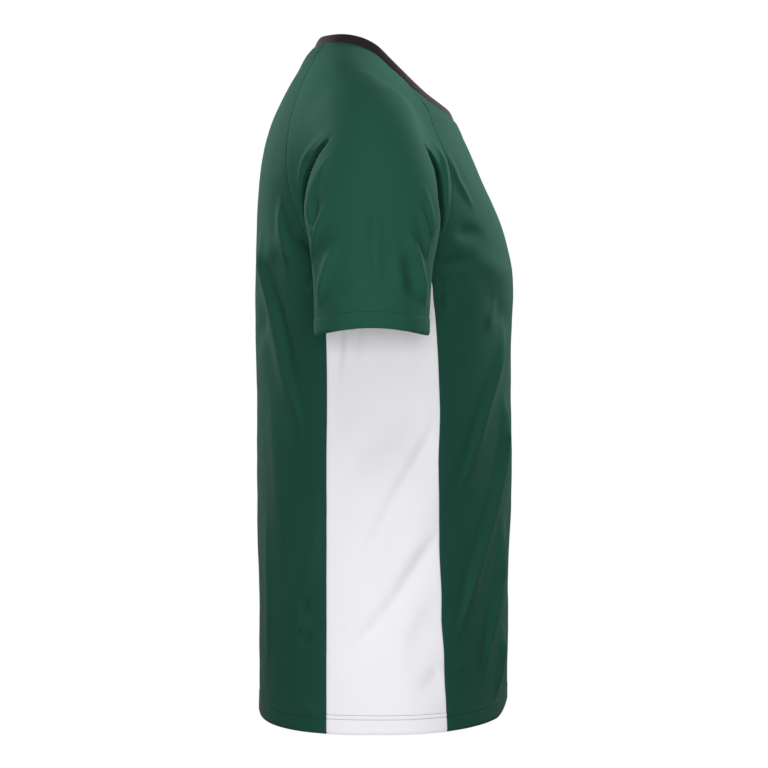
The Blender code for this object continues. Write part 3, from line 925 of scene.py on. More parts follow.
@dataclass(frozen=True)
class Fold:
    """A soft ridge or trough in the cloth along a smooth line."""

    places: tuple[tuple[float, float], ...]
    width: float
    height: float
    crisp: float = 2.0
    lean: float = 0.0
    ends: tuple[float, float] = (0.4, 0.4)
    swell: float = 0.0
    seen: Seen = Seen.SIDE
    cover: Cover = Cover.ALL
    same_place: bool = False
    miss: float = 0.0015
    # The valley past the gentle side: its share of the height, its place and its width, in fold widths
    valley: tuple[float, float, float] = (0.16, 1.9, 0.8)

    def trail(self, side: Side) -> Trail:
        """The fold's line on the worn form, on one side of the wearer."""
        knots = np.array(self.places)
        if len(knots) > 2:
            line = spline_matrix(len(knots), np.linspace(0, 1, 28)) @ knots
        else:
            line = self.straight(knots)
        z = line[:, 1]
        if self.seen is Seen.SIDE:
            start = np.stack([np.full(len(z), side.value * 0.34), line[:, 0], z], axis=-1)
            direction = np.array([-side.value, 0.0, 0.0])
        else:
            depth = -0.2 if self.seen is Seen.FRONT else 0.2
            start = np.stack([line[:, 0] * side.value, np.full(len(z), depth), z], axis=-1)
            direction = np.array([0.0, -math.copysign(1, depth), 0.0])
        line = WORN.met_along(start, direction)
        if self.cover is Cover.SLEEVE:
            line = np.where((z < LEVELS.armpit)[:, None], SLEEVE.met_along(start, direction), line)
        if self.seen is Seen.SIDE:
            # Where the line runs off the form's edge, it neither hangs beside it nor goes on beyond
            beside = np.minimum(np.abs(WORN.read(line)[0]), np.abs(SLEEVE.read(line)[0])) > self.miss
            line = line[~beside & (line[:, 0] * side.value > 0)]
        return Trail(line)

    @staticmethod
    def straight(knots: Array) -> Array:
        """A straight line between two places."""
        return knots[0] + np.linspace(0, 1, 28)[:, None] * (knots[1] - knots[0])

    def lift(self, away: Array, along: Array) -> Array:
        """How far the fold lifts the cloth.

        Args:
            away: Signed distances from its line.
            along: Shares of its length.

        Returns:
            The lift at each point.
        """
        strength = eased(along / self.ends[0]) * eased((1 - along) / self.ends[1])
        broad = 1 + np.maximum(0, -self.lean * np.sign(away))
        size = 1 + self.swell * (1 - along) ** 2
        q = np.abs(away) / (self.width * size * (0.65 + 0.35 * strength) * broad)
        share, place, width = self.valley
        valley = share * np.exp(-(((q - place) / width) ** 2)) * (broad > 1)
        return self.height * np.sqrt(size) * strength * (np.exp(-(q**self.crisp)) - valley)

    def reach(self) -> float:
        """How far from its line the fold moves the cloth."""
        return self.width * (1 + 0.6 * self.swell) * (1 + abs(self.lean) * 0.7) * 3.4

    def mirrored_unevenly(self, step: int) -> "Fold":
        """A like fold for the wearer's other side, resized a little and moved towards the side's middle.

        Args:
            step: The fold's place in its table, which sets how it differs.

        Returns:
            The other fold.
        """
        inward, down = 0.002 + 0.005 * abs(math.sin(2.1 * step + 1)), 0.012 * math.sin(1.3 * step + 0.4)
        if self.same_place:
            inward = down = 0.0
        middle = sum(y for y, _ in self.places)
        places = tuple((y - math.copysign(inward, middle), z + down) for y, z in self.places)
        return replace(
            self,
            places=places,
            lean=-self.lean,
            width=self.width * (1 + 0.15 * math.sin(1.9 * step)),
            height=self.height * (0.95 + 0.2 * math.sin(2.7 * step)),
        )


@dataclass(frozen=True)
class ArmPleat:
    """The deep pleat where the arm leaves the body. It is narrow, and runs in under the arm."""

    places: tuple[tuple[float, float], ...]
    depth: float
    width: float
    under: float
    ends: tuple[float, float]
    wall: float = 0.8
    # How far from the middle of the body it reaches, at the height of its lower part and of its top
    outer_level: tuple[float, float] = (-0.165, -0.110)
    outer_reach: tuple[float, float] = (0.190, 0.245)
    outer_fade: float = 0.006

    def trail(self) -> Trail:
        """The pleat's line as the side view shows it, in the plane x = 0."""
        knots = np.array(self.places)
        line = spline_matrix(len(knots), np.linspace(0, 1, 60)) @ knots
        return Trail(np.column_stack([np.zeros(len(line)), line]))

    def sunk(self, p: Array, side: Side) -> Array:
        """Sinks points into the pleat.

        Args:
            p: Points of a sleeve, (n, 3).
            side: The side that the sleeve is on.

        Returns:
            The moved points.
        """
        trail = self.trail()
        level = p * np.array([0.0, 1.0, 1.0])
        found, away, along = trail.measure(level, np.broadcast_to([1.0, 0.0, 0.0], p.shape), self.width)
        share = along / trail.run[-1]
        strength = eased(share / self.ends[0]) * eased((1 - share) / self.ends[1])
        inside = 1 - np.abs(away) / (self.width * (0.50 + 0.50 * strength))
        beyond = np.interp(p[found, 2], self.outer_level, self.outer_reach) - np.abs(p[found, 0])
        push = self.depth * strength * eased(inside / self.wall) * eased(beyond / self.outer_fade)
        moved = p.copy()
        moved[found] += push[:, None] * unit(np.array([-side.value, self.under, 0.0]))
        return moved


@dataclass(frozen=True)
class SeamStyle:
    """How the cloth lies at a seam."""

    depth: float = 0.0010
    shoulder: float = 0.0016
    band_height: float = 0.00020
    band_width: float = 0.0050
    pucker_height: float = 0.00020
    pucker_length: float = 0.011

    def lift(self, away: Array, along: Array, seed: float) -> Array:
        """How far the seam lifts the cloth, negative in its valley.

        Args:
            away: Signed distances from the seam. The pressed allowance lies on the negative side.
            along: Metres along the seam.
            seed: Makes its puckers its own.

        Returns:
            The lift at each point.
        """
        d = np.abs(away)
        near = np.clip(1 - d / self.shoulder, 0, 1)
        valley = -self.depth * (1 - np.sqrt(np.maximum(1 - near**2, 0)))
        band = self.band_height * eased(d / 0.0025) * (1 - eased((d - self.band_width) / 0.0050))
        wave = np.stack([along, np.zeros_like(along), np.full_like(along, seed)], axis=-1)
        pucker = self.pucker_height * ripple(wave, self.pucker_length, seed)
        pucker = pucker * np.exp(-d / 0.007) * eased(d / 0.001)
        return valley + np.where(away < 0, band, 0) + pucker


@dataclass(frozen=True)
class HemStyle:
    """How the cloth lies at a turned and stitched hem."""

    stitched_at: tuple[float, ...]
    dent: float = 0.00035
    dent_width: float = 0.0009
    fullness: float = 0.00045

    def lift(self, above: Array) -> Array:
        """How far the hem lifts the cloth at these heights above its edge."""
        lift = self.fullness * (1 - eased((above - self.stitched_at[-1] + 0.001) / 0.003))
        lift = lift - 0.0006 * (1 - eased(above / 0.0022))
        for height in self.stitched_at:
            lift = lift - self.dent * np.exp(-(((above - height) / self.dent_width) ** 2))
        return lift


BODY_HEM = HemStyle((0.0133, 0.0180))
SLEEVE_HEM = HemStyle((0.0160,), dent=0.0005, dent_width=0.0012)

# Folds on the wearer's right, seen from the side as depth and height. The left has like ones.
SLEEVE_FOLDS = (
    Fold(
        (
            (0.0464, -0.1288), (0.0577, -0.1394), (0.0660, -0.1580), (0.0695, -0.1726), (0.0708, -0.1860),
            (0.0690, -0.2050), (0.0650, -0.2240),
        ),
        0.0030, 0.0036, crisp=1.6, lean=-0.6, cover=Cover.SLEEVE,
    ),
    Fold(
        (
            (0.0442, -0.1622), (0.0515, -0.1770), (0.0589, -0.1934), (0.0636, -0.2113), (0.0660, -0.2256),
            (0.0650, -0.2380), (0.0640, -0.2500),
        ),
        0.0032, 0.0048, crisp=1.6, lean=-0.7, ends=(0.5, 0.5), cover=Cover.SLEEVE,
    ),
    Fold(
        (
            (0.0383, -0.2074), (0.0456, -0.2219), (0.0502, -0.2346), (0.0549, -0.2490), (0.0586, -0.2635),
            (0.0612, -0.2800),
        ),
        0.0042, 0.0060, crisp=1.6, lean=-0.9, cover=Cover.SLEEVE,
    ),
    Fold(((0.0236, -0.2440), (0.0308, -0.2700)), 0.0050, 0.0021, lean=-0.8, cover=Cover.SLEEVE),
    Fold(
        ((0.0600, -0.1640), (0.0662, -0.1832), (0.0702, -0.1975), (0.0705, -0.2110)),
        0.0050, -0.0046, ends=(0.5, 0.5), cover=Cover.SLEEVE,
    ),
    Fold(
        ((0.0074, -0.1650), (0.0092, -0.1950), (0.0082, -0.2317), (0.0073, -0.2720)),
        0.0055, 0.0034, cover=Cover.SLEEVE,
    ),
    Fold(((0.0138, -0.1760), (0.0192, -0.2150)), 0.0060, -0.0020, cover=Cover.SLEEVE),
    Fold(
        ((-0.0340, -0.1580), (-0.0395, -0.1723), (-0.0428, -0.1890), (-0.0440, -0.2036), (-0.0432, -0.2170)),
        0.0028, 0.0034, crisp=1.6, lean=0.6, ends=(0.5, 0.3), cover=Cover.SLEEVE,
    ),
    Fold(
        ((-0.0300, -0.1740), (-0.0345, -0.1925), (-0.0378, -0.2100), (-0.0388, -0.2240), (-0.0390, -0.2340)),
        0.0030, 0.0040, crisp=1.6, lean=0.6, ends=(0.5, 0.3), cover=Cover.SLEEVE,
    ),
    Fold(
        (
            (-0.0185, -0.1970), (-0.0243, -0.2160), (-0.0291, -0.2326),
            (-0.0338, -0.2507), (-0.0366, -0.2670),
            (-0.0385, -0.2790),
        ),
        0.0042, 0.0060, crisp=1.6, lean=0.8, cover=Cover.SLEEVE,
    ),
    Fold(
        ((-0.0065, -0.2180), (-0.0117, -0.2424), (-0.0165, -0.2690)),
        0.0055, 0.0028, lean=0.8, cover=Cover.SLEEVE,
    ),
    Fold(((-0.0180, -0.2200), (-0.0245, -0.2475), (-0.0300, -0.2740)), 0.0105, -0.0030, cover=Cover.SLEEVE),
    Fold(
        (
            (0.0506, -0.1070), (0.0620, -0.1130), (0.0740, -0.1235), (0.0805, -0.1375), (0.0833, -0.1549),
            (0.0838, -0.1700),
        ),
        0.0030, 0.0028, crisp=1.6, same_place=True, cover=Cover.SLEEVE,
    ),
    Fold(
        ((-0.0448, -0.1060), (-0.0545, -0.1210), (-0.0586, -0.1383), (-0.0598, -0.1584), (-0.0604, -0.1760)),
        0.0028, 0.0028, crisp=1.6, same_place=True, cover=Cover.SLEEVE,
    ),
)
BACK_FOLDS = (
    Fold(
        ((0.1015, -0.1560), (0.1010, -0.1799), (0.0975, -0.1998), (0.0933, -0.2196), (0.0860, -0.2400)),
        0.0034, 0.0057, crisp=1.5, lean=-2.0, cover=Cover.BODY,
    ),
    Fold(
        (
            (0.1260, -0.1800), (0.1225, -0.2002), (0.1168, -0.2312), (0.1122, -0.2554), (0.1057, -0.2834),
            (0.0962, -0.3275), (0.0895, -0.3498), (0.0829, -0.3739), (0.0785, -0.4080),
        ),
        0.0032, 0.0072, swell=0.9, crisp=1.5, lean=-3.0, ends=(0.3, 0.3), cover=Cover.BODY,
    ),
    Fold(
        ((0.0679, -0.4258), (0.0665, -0.4739), (0.0700, -0.5120), (0.0765, -0.5332), (0.0900, -0.5640)),
        0.0060, 0.0035, lean=-1.5, cover=Cover.BODY,
    ),
    Fold(((0.0710, -0.5490), (0.0840, -0.5620)), 0.0055, -0.0026, cover=Cover.BODY),
    Fold(((0.0700, -0.5670), (0.0850, -0.5830)), 0.0050, 0.0027, cover=Cover.BODY),
    Fold(((0.0690, -0.5800), (0.0840, -0.5920)), 0.0050, -0.0024, cover=Cover.BODY),
    Fold(
        ((0.0860, -0.2000), (0.0812, -0.2261), (0.0735, -0.2600)),
        0.0115, -0.0130, ends=(0.4, 0.6), cover=Cover.BODY,
    ),
    Fold(((0.1120, -0.2350), (0.1000, -0.2900), (0.0860, -0.3450)), 0.0110, -0.0026, cover=Cover.BODY),
    Fold(((0.1180, -0.3300), (0.1060, -0.4200), (0.0980, -0.5200)), 0.0150, 0.0022, cover=Cover.BODY),
    Fold(
        ((0.1180, -0.4600), (0.1130, -0.5600), (0.1170, -0.6300)),
        0.0060, 0.0030, lean=-1.5, cover=Cover.BODY,
    ),
    Fold(((0.0780, -0.6520), (0.0620, -0.6590)), 0.0060, 0.0019, cover=Cover.BODY),
)
FRONT_FOLDS = (
    Fold(((-0.1130, -0.2560), (-0.0960, -0.2930)), 0.0034, 0.0030, crisp=1.5, lean=2.0, cover=Cover.BODY),
    Fold(
        (
            (-0.1190, -0.2700), (-0.1162, -0.2920), (-0.1089, -0.3222),
            (-0.0980, -0.3597), (-0.0875, -0.3955),
            (-0.0783, -0.4271), (-0.0670, -0.4600),
        ),
        0.0030, 0.0078, swell=0.7, crisp=1.5, lean=3.0, ends=(0.3, 0.4), cover=Cover.BODY,
    ),
    Fold(
        (
            (-0.1180, -0.3480), (-0.1172, -0.3849), (-0.1128, -0.4191),
            (-0.1030, -0.4626), (-0.0935, -0.4978),
            (-0.0831, -0.5306), (-0.0760, -0.5615), (-0.0650, -0.5980),
        ),
        0.0030, 0.0092, swell=0.8, crisp=1.5, lean=3.0, ends=(0.2, 0.3), cover=Cover.BODY,
    ),
    Fold(
        ((-0.1172, -0.4650), (-0.1152, -0.4998), (-0.1098, -0.5378), (-0.1019, -0.5803), (-0.0940, -0.6400)),
        0.0034, 0.0088, swell=0.8, crisp=1.5, lean=2.5, cover=Cover.BODY,
    ),
    Fold(
        ((-0.1172, -0.5800), (-0.1128, -0.6252), (-0.1065, -0.6560)),
        0.0036, 0.0060, swell=0.6, crisp=1.5, lean=2.5, cover=Cover.BODY,
    ),
    Fold(
        ((-0.0600, -0.1120), (-0.0683, -0.1411), (-0.0761, -0.1565), (-0.0900, -0.1780)),
        0.0040, 0.0032, crisp=1.5, lean=1.0, cover=Cover.BODY,
    ),
    Fold(
        ((-0.0640, -0.2040), (-0.0800, -0.1965), (-0.1000, -0.1980)),
        0.0085, -0.0040, ends=(0.4, 0.5), cover=Cover.BODY,
    ),
    Fold(
        ((-0.0500, -0.2310), (-0.0700, -0.2262), (-0.0900, -0.2200)),
        0.0075, -0.0040, ends=(0.3, 0.6), cover=Cover.BODY,
    ),
    Fold(
        ((-0.0500, -0.2470), (-0.0645, -0.2447), (-0.0800, -0.2410)),
        0.0080, -0.0036, ends=(0.3, 0.6), cover=Cover.BODY,
    ),
    Fold(((-0.0520, -0.2640), (-0.0740, -0.2650)), 0.0070, -0.0034, ends=(0.3, 0.6), cover=Cover.BODY),
    Fold(((-0.0680, -0.6090), (-0.0760, -0.6170)), 0.0050, 0.0014, cover=Cover.BODY),
)
SIDE_FOLDS = (
    Fold(
        (
            (-0.0530, -0.3730), (-0.0488, -0.3804), (-0.0333, -0.4117),
            (-0.0161, -0.4400), (-0.0018, -0.4683),
            (0.0143, -0.4986), (0.0340, -0.5370),
        ),
        0.0068, -0.0054, crisp=1.7, lean=1.6, ends=(0.25, 0.4), cover=Cover.BODY,
    ),
    Fold(
        (
            (-0.0530, -0.4810), (-0.0486, -0.4881), (-0.0332, -0.5131), (-0.0161, -0.5392), (0.0048, -0.5673),
            (0.0265, -0.5909), (0.0500, -0.6120),
        ),
        0.0068, -0.0054, crisp=1.7, lean=1.6, ends=(0.25, 0.35), cover=Cover.BODY,
    ),
    Fold(
        ((-0.0530, -0.6170), (-0.0280, -0.6410)),
        0.0065, -0.0020, lean=1.0, ends=(0.2, 0.6), cover=Cover.BODY,
    ),
    Fold(
        ((-0.0340, -0.3400), (-0.0047, -0.3783), (0.0191, -0.4068), (0.0450, -0.4340)),
        0.0140, -0.0046, lean=0.6, cover=Cover.BODY,
    ),
    Fold(
        ((-0.0520, -0.5430), (-0.0351, -0.5756), (-0.0160, -0.6070)),
        0.0110, -0.0035, lean=0.6, cover=Cover.BODY,
    ),
    Fold(((0.0260, -0.2750), (0.0290, -0.3300)), 0.0045, -0.0032, ends=(0.1, 0.6), cover=Cover.BODY),
    Fold(((0.0430, -0.2750), (0.0455, -0.3450)), 0.0050, -0.0030, ends=(0.1, 0.6), cover=Cover.BODY),
)
# Folds on the chest and the back that the side view shows only at its edge, as x and height
CHEST_FOLDS = (
    Fold(((0.150, -0.215), (0.105, -0.232), (0.060, -0.226)), 0.0140, 0.0030, seen=Seen.FRONT),
    Fold(((0.140, -0.250), (0.095, -0.275), (0.045, -0.282)), 0.0130, -0.0022, seen=Seen.FRONT),
    Fold(((0.060, -0.330), (0.040, -0.430), (0.052, -0.560)), 0.0180, 0.0024, seen=Seen.FRONT),
    Fold(((0.015, -0.420), (-0.004, -0.520), (0.004, -0.630)), 0.0170, -0.0020, seen=Seen.FRONT),
)
REAR_FOLDS = (
    Fold(((0.150, -0.190), (0.105, -0.222), (0.055, -0.228)), 0.0140, 0.0030, seen=Seen.BACK),
    Fold(((0.130, -0.245), (0.085, -0.290), (0.040, -0.310)), 0.0150, -0.0024, seen=Seen.BACK),
    Fold(((0.050, -0.340), (0.034, -0.450), (0.046, -0.570)), 0.0190, 0.0026, seen=Seen.BACK),
    Fold(((0.012, -0.440), (-0.006, -0.530), (0.003, -0.640)), 0.0180, -0.0020, seen=Seen.BACK),
)
# The pleats where the arm leaves the body, seen from the side, at the back and at the front
ARM_PLEATS = (
    ArmPleat(
        (
            (0.0468, -0.1095),
            (0.0579, -0.1190),
            (0.0662, -0.1289),
            (0.0720, -0.1400),
            (0.0757, -0.1530),
            (0.0773, -0.1690),
            (0.0773, -0.1900),
        ),
        depth=0.045,
        width=0.0042,
        under=-0.25,
        ends=(0.55, 0.35),
    ),
    ArmPleat(
        (
            (-0.0310, -0.1120),
            (-0.0420, -0.1215),
            (-0.0485, -0.1335),
            (-0.0520, -0.1512),
            (-0.0535, -0.1700),
            (-0.0545, -0.1860),
            (-0.0530, -0.2030),
        ),
        depth=0.045,
        width=0.0042,
        under=0.25,
        ends=(0.45, 0.35),
        outer_reach=(0.300, 0.300),
    ),
)


class Relief:
    """All that lifts or sinks the cloth from the plain worn form."""

    # The cloth's faint unevenness all over, each as a height, a length and a seed
    WAVES = ((0.0011, 0.075, 2.0), (0.00035, 0.024, 5.0))
    SEAM_REACH = 0.024

    def __init__(self, pattern: Pattern) -> None:
        """Lays every crease and seam on the form once.

        Args:
            pattern: The jersey's pattern.
        """
        self.folds: list[tuple[Fold, Trail]] = []
        tables = (SLEEVE_FOLDS, BACK_FOLDS, FRONT_FOLDS, SIDE_FOLDS, CHEST_FOLDS, REAR_FOLDS)
        for number, fold in enumerate(fold for table in tables for fold in table):
            self.folds.append((fold, fold.trail(Side.RIGHT)))
            other = fold.mirrored_unevenly(number)
            self.folds.append((other, other.trail(Side.LEFT)))
        seam_style, neck_style = SeamStyle(), SeamStyle(depth=0.0006, band_height=0.0002, band_width=0.0050)
        self.seams: list[tuple[SeamStyle, Trail, float]] = []
        for number, line in enumerate(
            (pattern.front_seam, pattern.back_seam, pattern.side_seam(0), pattern.side_seam(1))
        ):
            # The allowances are pressed away from the sleeve and away from the side panel
            facing = line if number in (0, 2) else line[::-1]
            self.seams.append((seam_style, Trail(facing), 3.1 + number))
            self.seams.append((seam_style, Trail((facing * MIRROR)[::-1]), 8.3 + number))
        half = pattern.neck_half
        self.seams.append((neck_style, Trail(np.vstack([half, half[-2::-1] * MIRROR])), 15.0))

    def shifted(self, patch: Patch, cover: Cover, hem: HemStyle | None = None) -> Array:
        """The patch's points, creased.

        Args:
            patch: The patch.
            cover: Whether it belongs to the body or to a sleeve.
            hem: Its hem's style, if its last row is a hem.

        Returns:
            The moved points, in the patch's shape.
        """
        p, outward = patch.points.reshape(-1, 3), patch.outward.reshape(-1, 3)
        lift = sum(height * ripple(p, length, seed) for height, length, seed in self.WAVES)
        for fold, trail in self.folds:
            if fold.cover in (Cover.ALL, cover):
                found, away, along = trail.measure(p, outward, fold.reach())
                lift[found] += fold.lift(away, along / trail.run[-1])
        for style, trail, seed in self.seams:
            found, away, along = trail.measure(p, outward, self.SEAM_REACH)
            lift[found] += style.lift(away, along, seed)
        if hem is not None:
            lift = lift + hem.lift(patch.above_edge().reshape(-1))
        moved = p + outward * lift[:, None]
        if cover is Cover.SLEEVE:
            side = Side.LEFT if p[:, 0].mean() > 0 else Side.RIGHT
            for pleat in ARM_PLEATS:
                moved = pleat.sunk(moved, side)
        return moved.reshape(patch.points.shape)


# ---------------------------------------------------------------------------------------------------
# Cloth as a thin shell
# ---------------------------------------------------------------------------------------------------


class Shell:
    """Gathers grids into one sheet of cloth and gives it thickness and rounded edges."""

    RIM_TURNS = (math.pi / 4, math.pi / 2, 3 * math.pi / 4)

    def __init__(self) -> None:
        """Starts with nothing."""
        self.places: list[Array] = []
        self.walls: list[Array] = []
        self.flats: list[Array] = []
        self.cells: list[Array] = []
        self.cell_flats: list[Array] = []
        self.count = 0

    def add_points(self, points: Array, flat: Array, wall: Array | float) -> Array:
        """Adds a grid of points on the cloth's outer face.

        Args:
            points: The grid, (rows, columns, 3).
            flat: Its places on the flat cloth, (rows, columns, 2).
            wall: The cloth's thickness there.

        Returns:
            The numbers of the points, (rows, columns).
        """
        numbers = np.arange(self.count, self.count + points[..., 0].size).reshape(points.shape[:-1])
        self.places.append(points.reshape(-1, 3))
        self.flats.append(flat.reshape(-1, 2))
        self.walls.append(np.broadcast_to(wall, numbers.shape).reshape(-1))
        self.count += numbers.size
        return numbers

    def add_cells(self, numbers: Array, flat: Array) -> None:
        """Adds the cells between numbered rows and columns.

        Args:
            numbers: The points' numbers, (rows, columns).
            flat: Their places on the flat cloth, which may differ where a tube closes.
        """
        self.cells.append(self.corners(numbers).reshape(-1, 4))
        self.cell_flats.append(self.corners(flat).reshape(-1, 4, 2))

    @staticmethod
    def corners(grid: Array) -> Array:
        """Each cell's four corners, counterclockwise seen from outside."""
        return np.stack([grid[:-1, :-1], grid[1:, :-1], grid[1:, 1:], grid[:-1, 1:]], axis=2)

    def build(self, name: str, flip: bool = False) -> bpy.types.Object:
        """Makes the closed piece of cloth.

        Args:
            name: The object's name.
            flip: Whether the grids are mirrored, so that their cells run the other way.

        Returns:
            The new object, linked to the scene.
        """
        outer, wall = np.concatenate(self.places), np.concatenate(self.walls)
        flats, cells = np.concatenate(self.flats), np.concatenate(self.cells)
        cell_flats = np.concatenate(self.cell_flats)
        if flip:
            cells, cell_flats = cells[:, ::-1], cell_flats[:, ::-1]
        count = len(outer)
        corners = outer[cells]
        facing = np.cross(corners[:, 2] - corners[:, 0], corners[:, 3] - corners[:, 1])
        normals = self.summed(cells, facing, count)
        inner = outer - normals * wall[:, None]
        starts, stops = cells.reshape(-1), np.roll(cells, -1, axis=1).reshape(-1)
        free = ~np.isin(starts * count + stops, stops * count + starts)
        a, b = starts[free], stops[free]
        along = np.zeros((count, 3))
        np.add.at(along, a, outer[b] - outer[a])
        np.add.at(along, b, outer[b] - outer[a])
        rim = np.unique(a)
        away = unit(np.cross(along[rim], normals[rim]))
        number = np.zeros(count, int)
        number[rim] = np.arange(len(rim))
        points, faces = [outer, inner], [cells, cells[:, ::-1] + count]
        face_flats = [cell_flats, cell_flats[:, ::-1]]
        middle, radius = (outer[rim] + inner[rim]) / 2, (wall[rim] / 2)[:, None]
        rings_a, rings_b = [a], [b]
        for turn in self.RIM_TURNS:
            start = 2 * count + len(rim) * (len(points) - 2)
            points.append(middle + radius * (math.cos(turn) * normals[rim] + math.sin(turn) * away))
            rings_a.append(start + number[a])
            rings_b.append(start + number[b])
        rings_a.append(a + count)
        rings_b.append(b + count)
        for k in range(len(rings_a) - 1):
            faces.append(np.stack([rings_b[k], rings_a[k], rings_a[k + 1], rings_b[k + 1]], axis=1))
            face_flats.append(np.stack([flats[b], flats[a], flats[a], flats[b]], axis=1))
        return mesh_object(name, np.concatenate(points), np.concatenate(faces), np.concatenate(face_flats))

    @staticmethod
    def summed(cells: Array, vectors: Array, count: int) -> Array:
        """Each point's direction, from the vectors of the cells around it."""
        total = np.zeros((count, 3))
        for corner in range(4):
            np.add.at(total, cells[:, corner], vectors)
        return unit(total)


def mesh_object(name: str, points: Array, quads: Array, flats: Array | None = None) -> bpy.types.Object:
    """Makes a smooth object of four-sided faces.

    Args:
        name: The object's name.
        points: Its points, (n, 3).
        quads: Its faces, (m, 4).
        flats: Each corner's place on the flat cloth in metres, (m, 4, 2).

    Returns:
        The new object, linked to the scene.
    """
    mesh = bpy.data.meshes.new(name)
    mesh.vertices.add(len(points))
    mesh.vertices.foreach_set("co", points.astype(np.float32).reshape(-1))
    mesh.loops.add(quads.size)
    mesh.loops.foreach_set("vertex_index", quads.astype(np.int32).reshape(-1))
    mesh.polygons.add(len(quads))
    mesh.polygons.foreach_set("loop_start", np.arange(0, quads.size, 4, dtype=np.int32))
    mesh.update(calc_edges=True)
    mesh.validate()
    mesh.polygons.foreach_set("use_smooth", np.ones(len(mesh.polygons), dtype=bool))
    if flats is not None and len(mesh.loops) == quads.size:
        layer = mesh.uv_layers.new(name="flat")
        layer.data.foreach_set("uv", flats.astype(np.float32).reshape(-1))
    piece = bpy.data.objects.new(name, mesh)
    bpy.context.collection.objects.link(piece)
    return piece


class Edge(Enum):
    """An edge of a grid."""

    TOP = "top"
    FIRST = "first"
    LAST = "last"


def with_turnings(points: Array, outward: Array, flat: Array, edges: Sequence[Edge]) -> tuple[Array, Array]:
    """Turns seam allowances inward from a grid's edges.

    Args:
        points: The grid.
        outward: Outward directions.
        flat: Its places on the flat cloth.
        edges: The edges that are sewn.

    Returns:
        The wider grid and its places on the flat cloth.
    """
    depths = (0.0034, 0.0016, 0.0006)
    if Edge.TOP in edges:
        rows = [points[0] - outward[0] * depth for depth in depths]
        points = np.concatenate([rows, points])
        flat = np.concatenate([[flat[0] + np.array([0.0, depth]) for depth in depths], flat])
        outward = np.concatenate([[outward[0]] * len(depths), outward])
    for edge, column in ((Edge.FIRST, 0), (Edge.LAST, -1)):
        if edge not in edges:
            continue
        side = -1.0 if edge is Edge.FIRST else 1.0
        strips = [points[:, column] - outward[:, column] * depth for depth in depths]
        places = [flat[:, column] + np.array([side * depth, 0.0]) for depth in depths]
        if edge is Edge.FIRST:
            points = np.concatenate([np.stack(strips, axis=1), points], axis=1)
            flat = np.concatenate([np.stack(places, axis=1), flat], axis=1)
            outward = np.concatenate([np.repeat(outward[:, :1], len(depths), axis=1), outward], axis=1)
        else:
            points = np.concatenate([points, np.stack(strips[::-1], axis=1)], axis=1)
            flat = np.concatenate([flat, np.stack(places[::-1], axis=1)], axis=1)
            outward = np.concatenate([outward, np.repeat(outward[:, -1:], len(depths), axis=1)], axis=1)
    return points, flat


# ---------------------------------------------------------------------------------------------------
# Finishes
# ---------------------------------------------------------------------------------------------------


class Value:
    """A number in a material that varies over the surface. Arithmetic on it adds Math nodes."""

    def __init__(self, shader: "Shader", socket: bpy.types.NodeSocket) -> None:
        """Wraps an output socket."""
        self.shader, self.socket = shader, socket

    def math(self, operation: str, *others: "Value | float", first: bool = True) -> "Value":
        """Adds a Math node.

        Args:
            operation: The node's operation.
            others: The other numbers that it takes.
            first: Whether this number comes before the others.

        Returns:
            The result.
        """
        terms = (self, *others) if first else (*others, self)
        return self.shader.node("ShaderNodeMath", {"operation": operation}, dict(enumerate(terms)))

    def __add__(self, other: "Value | float") -> "Value":
        """The sum."""
        return self.math("ADD", other)

    __radd__ = __add__

    def __mul__(self, other: "Value | float") -> "Value":
        """The product."""
        return self.math("MULTIPLY", other)

    __rmul__ = __mul__

    def __sub__(self, other: "Value | float") -> "Value":
        """The difference."""
        return self.math("SUBTRACT", other)

    def __rsub__(self, other: "Value | float") -> "Value":
        """The difference, from the other number."""
        return self.math("SUBTRACT", other, first=False)

    def __truediv__(self, other: "Value | float") -> "Value":
        """The quotient."""
        return self.math("DIVIDE", other)

    def __pow__(self, other: "Value | float") -> "Value":
        """The power."""
        return self.math("POWER", other)

    def fraction(self) -> "Value":
        """The part after the decimal point."""
        return self.math("FRACT")

    def size(self) -> "Value":
        """The number without its sign."""
        return self.math("ABSOLUTE")

    def sine(self) -> "Value":
        """The sine."""
        return self.math("SINE")


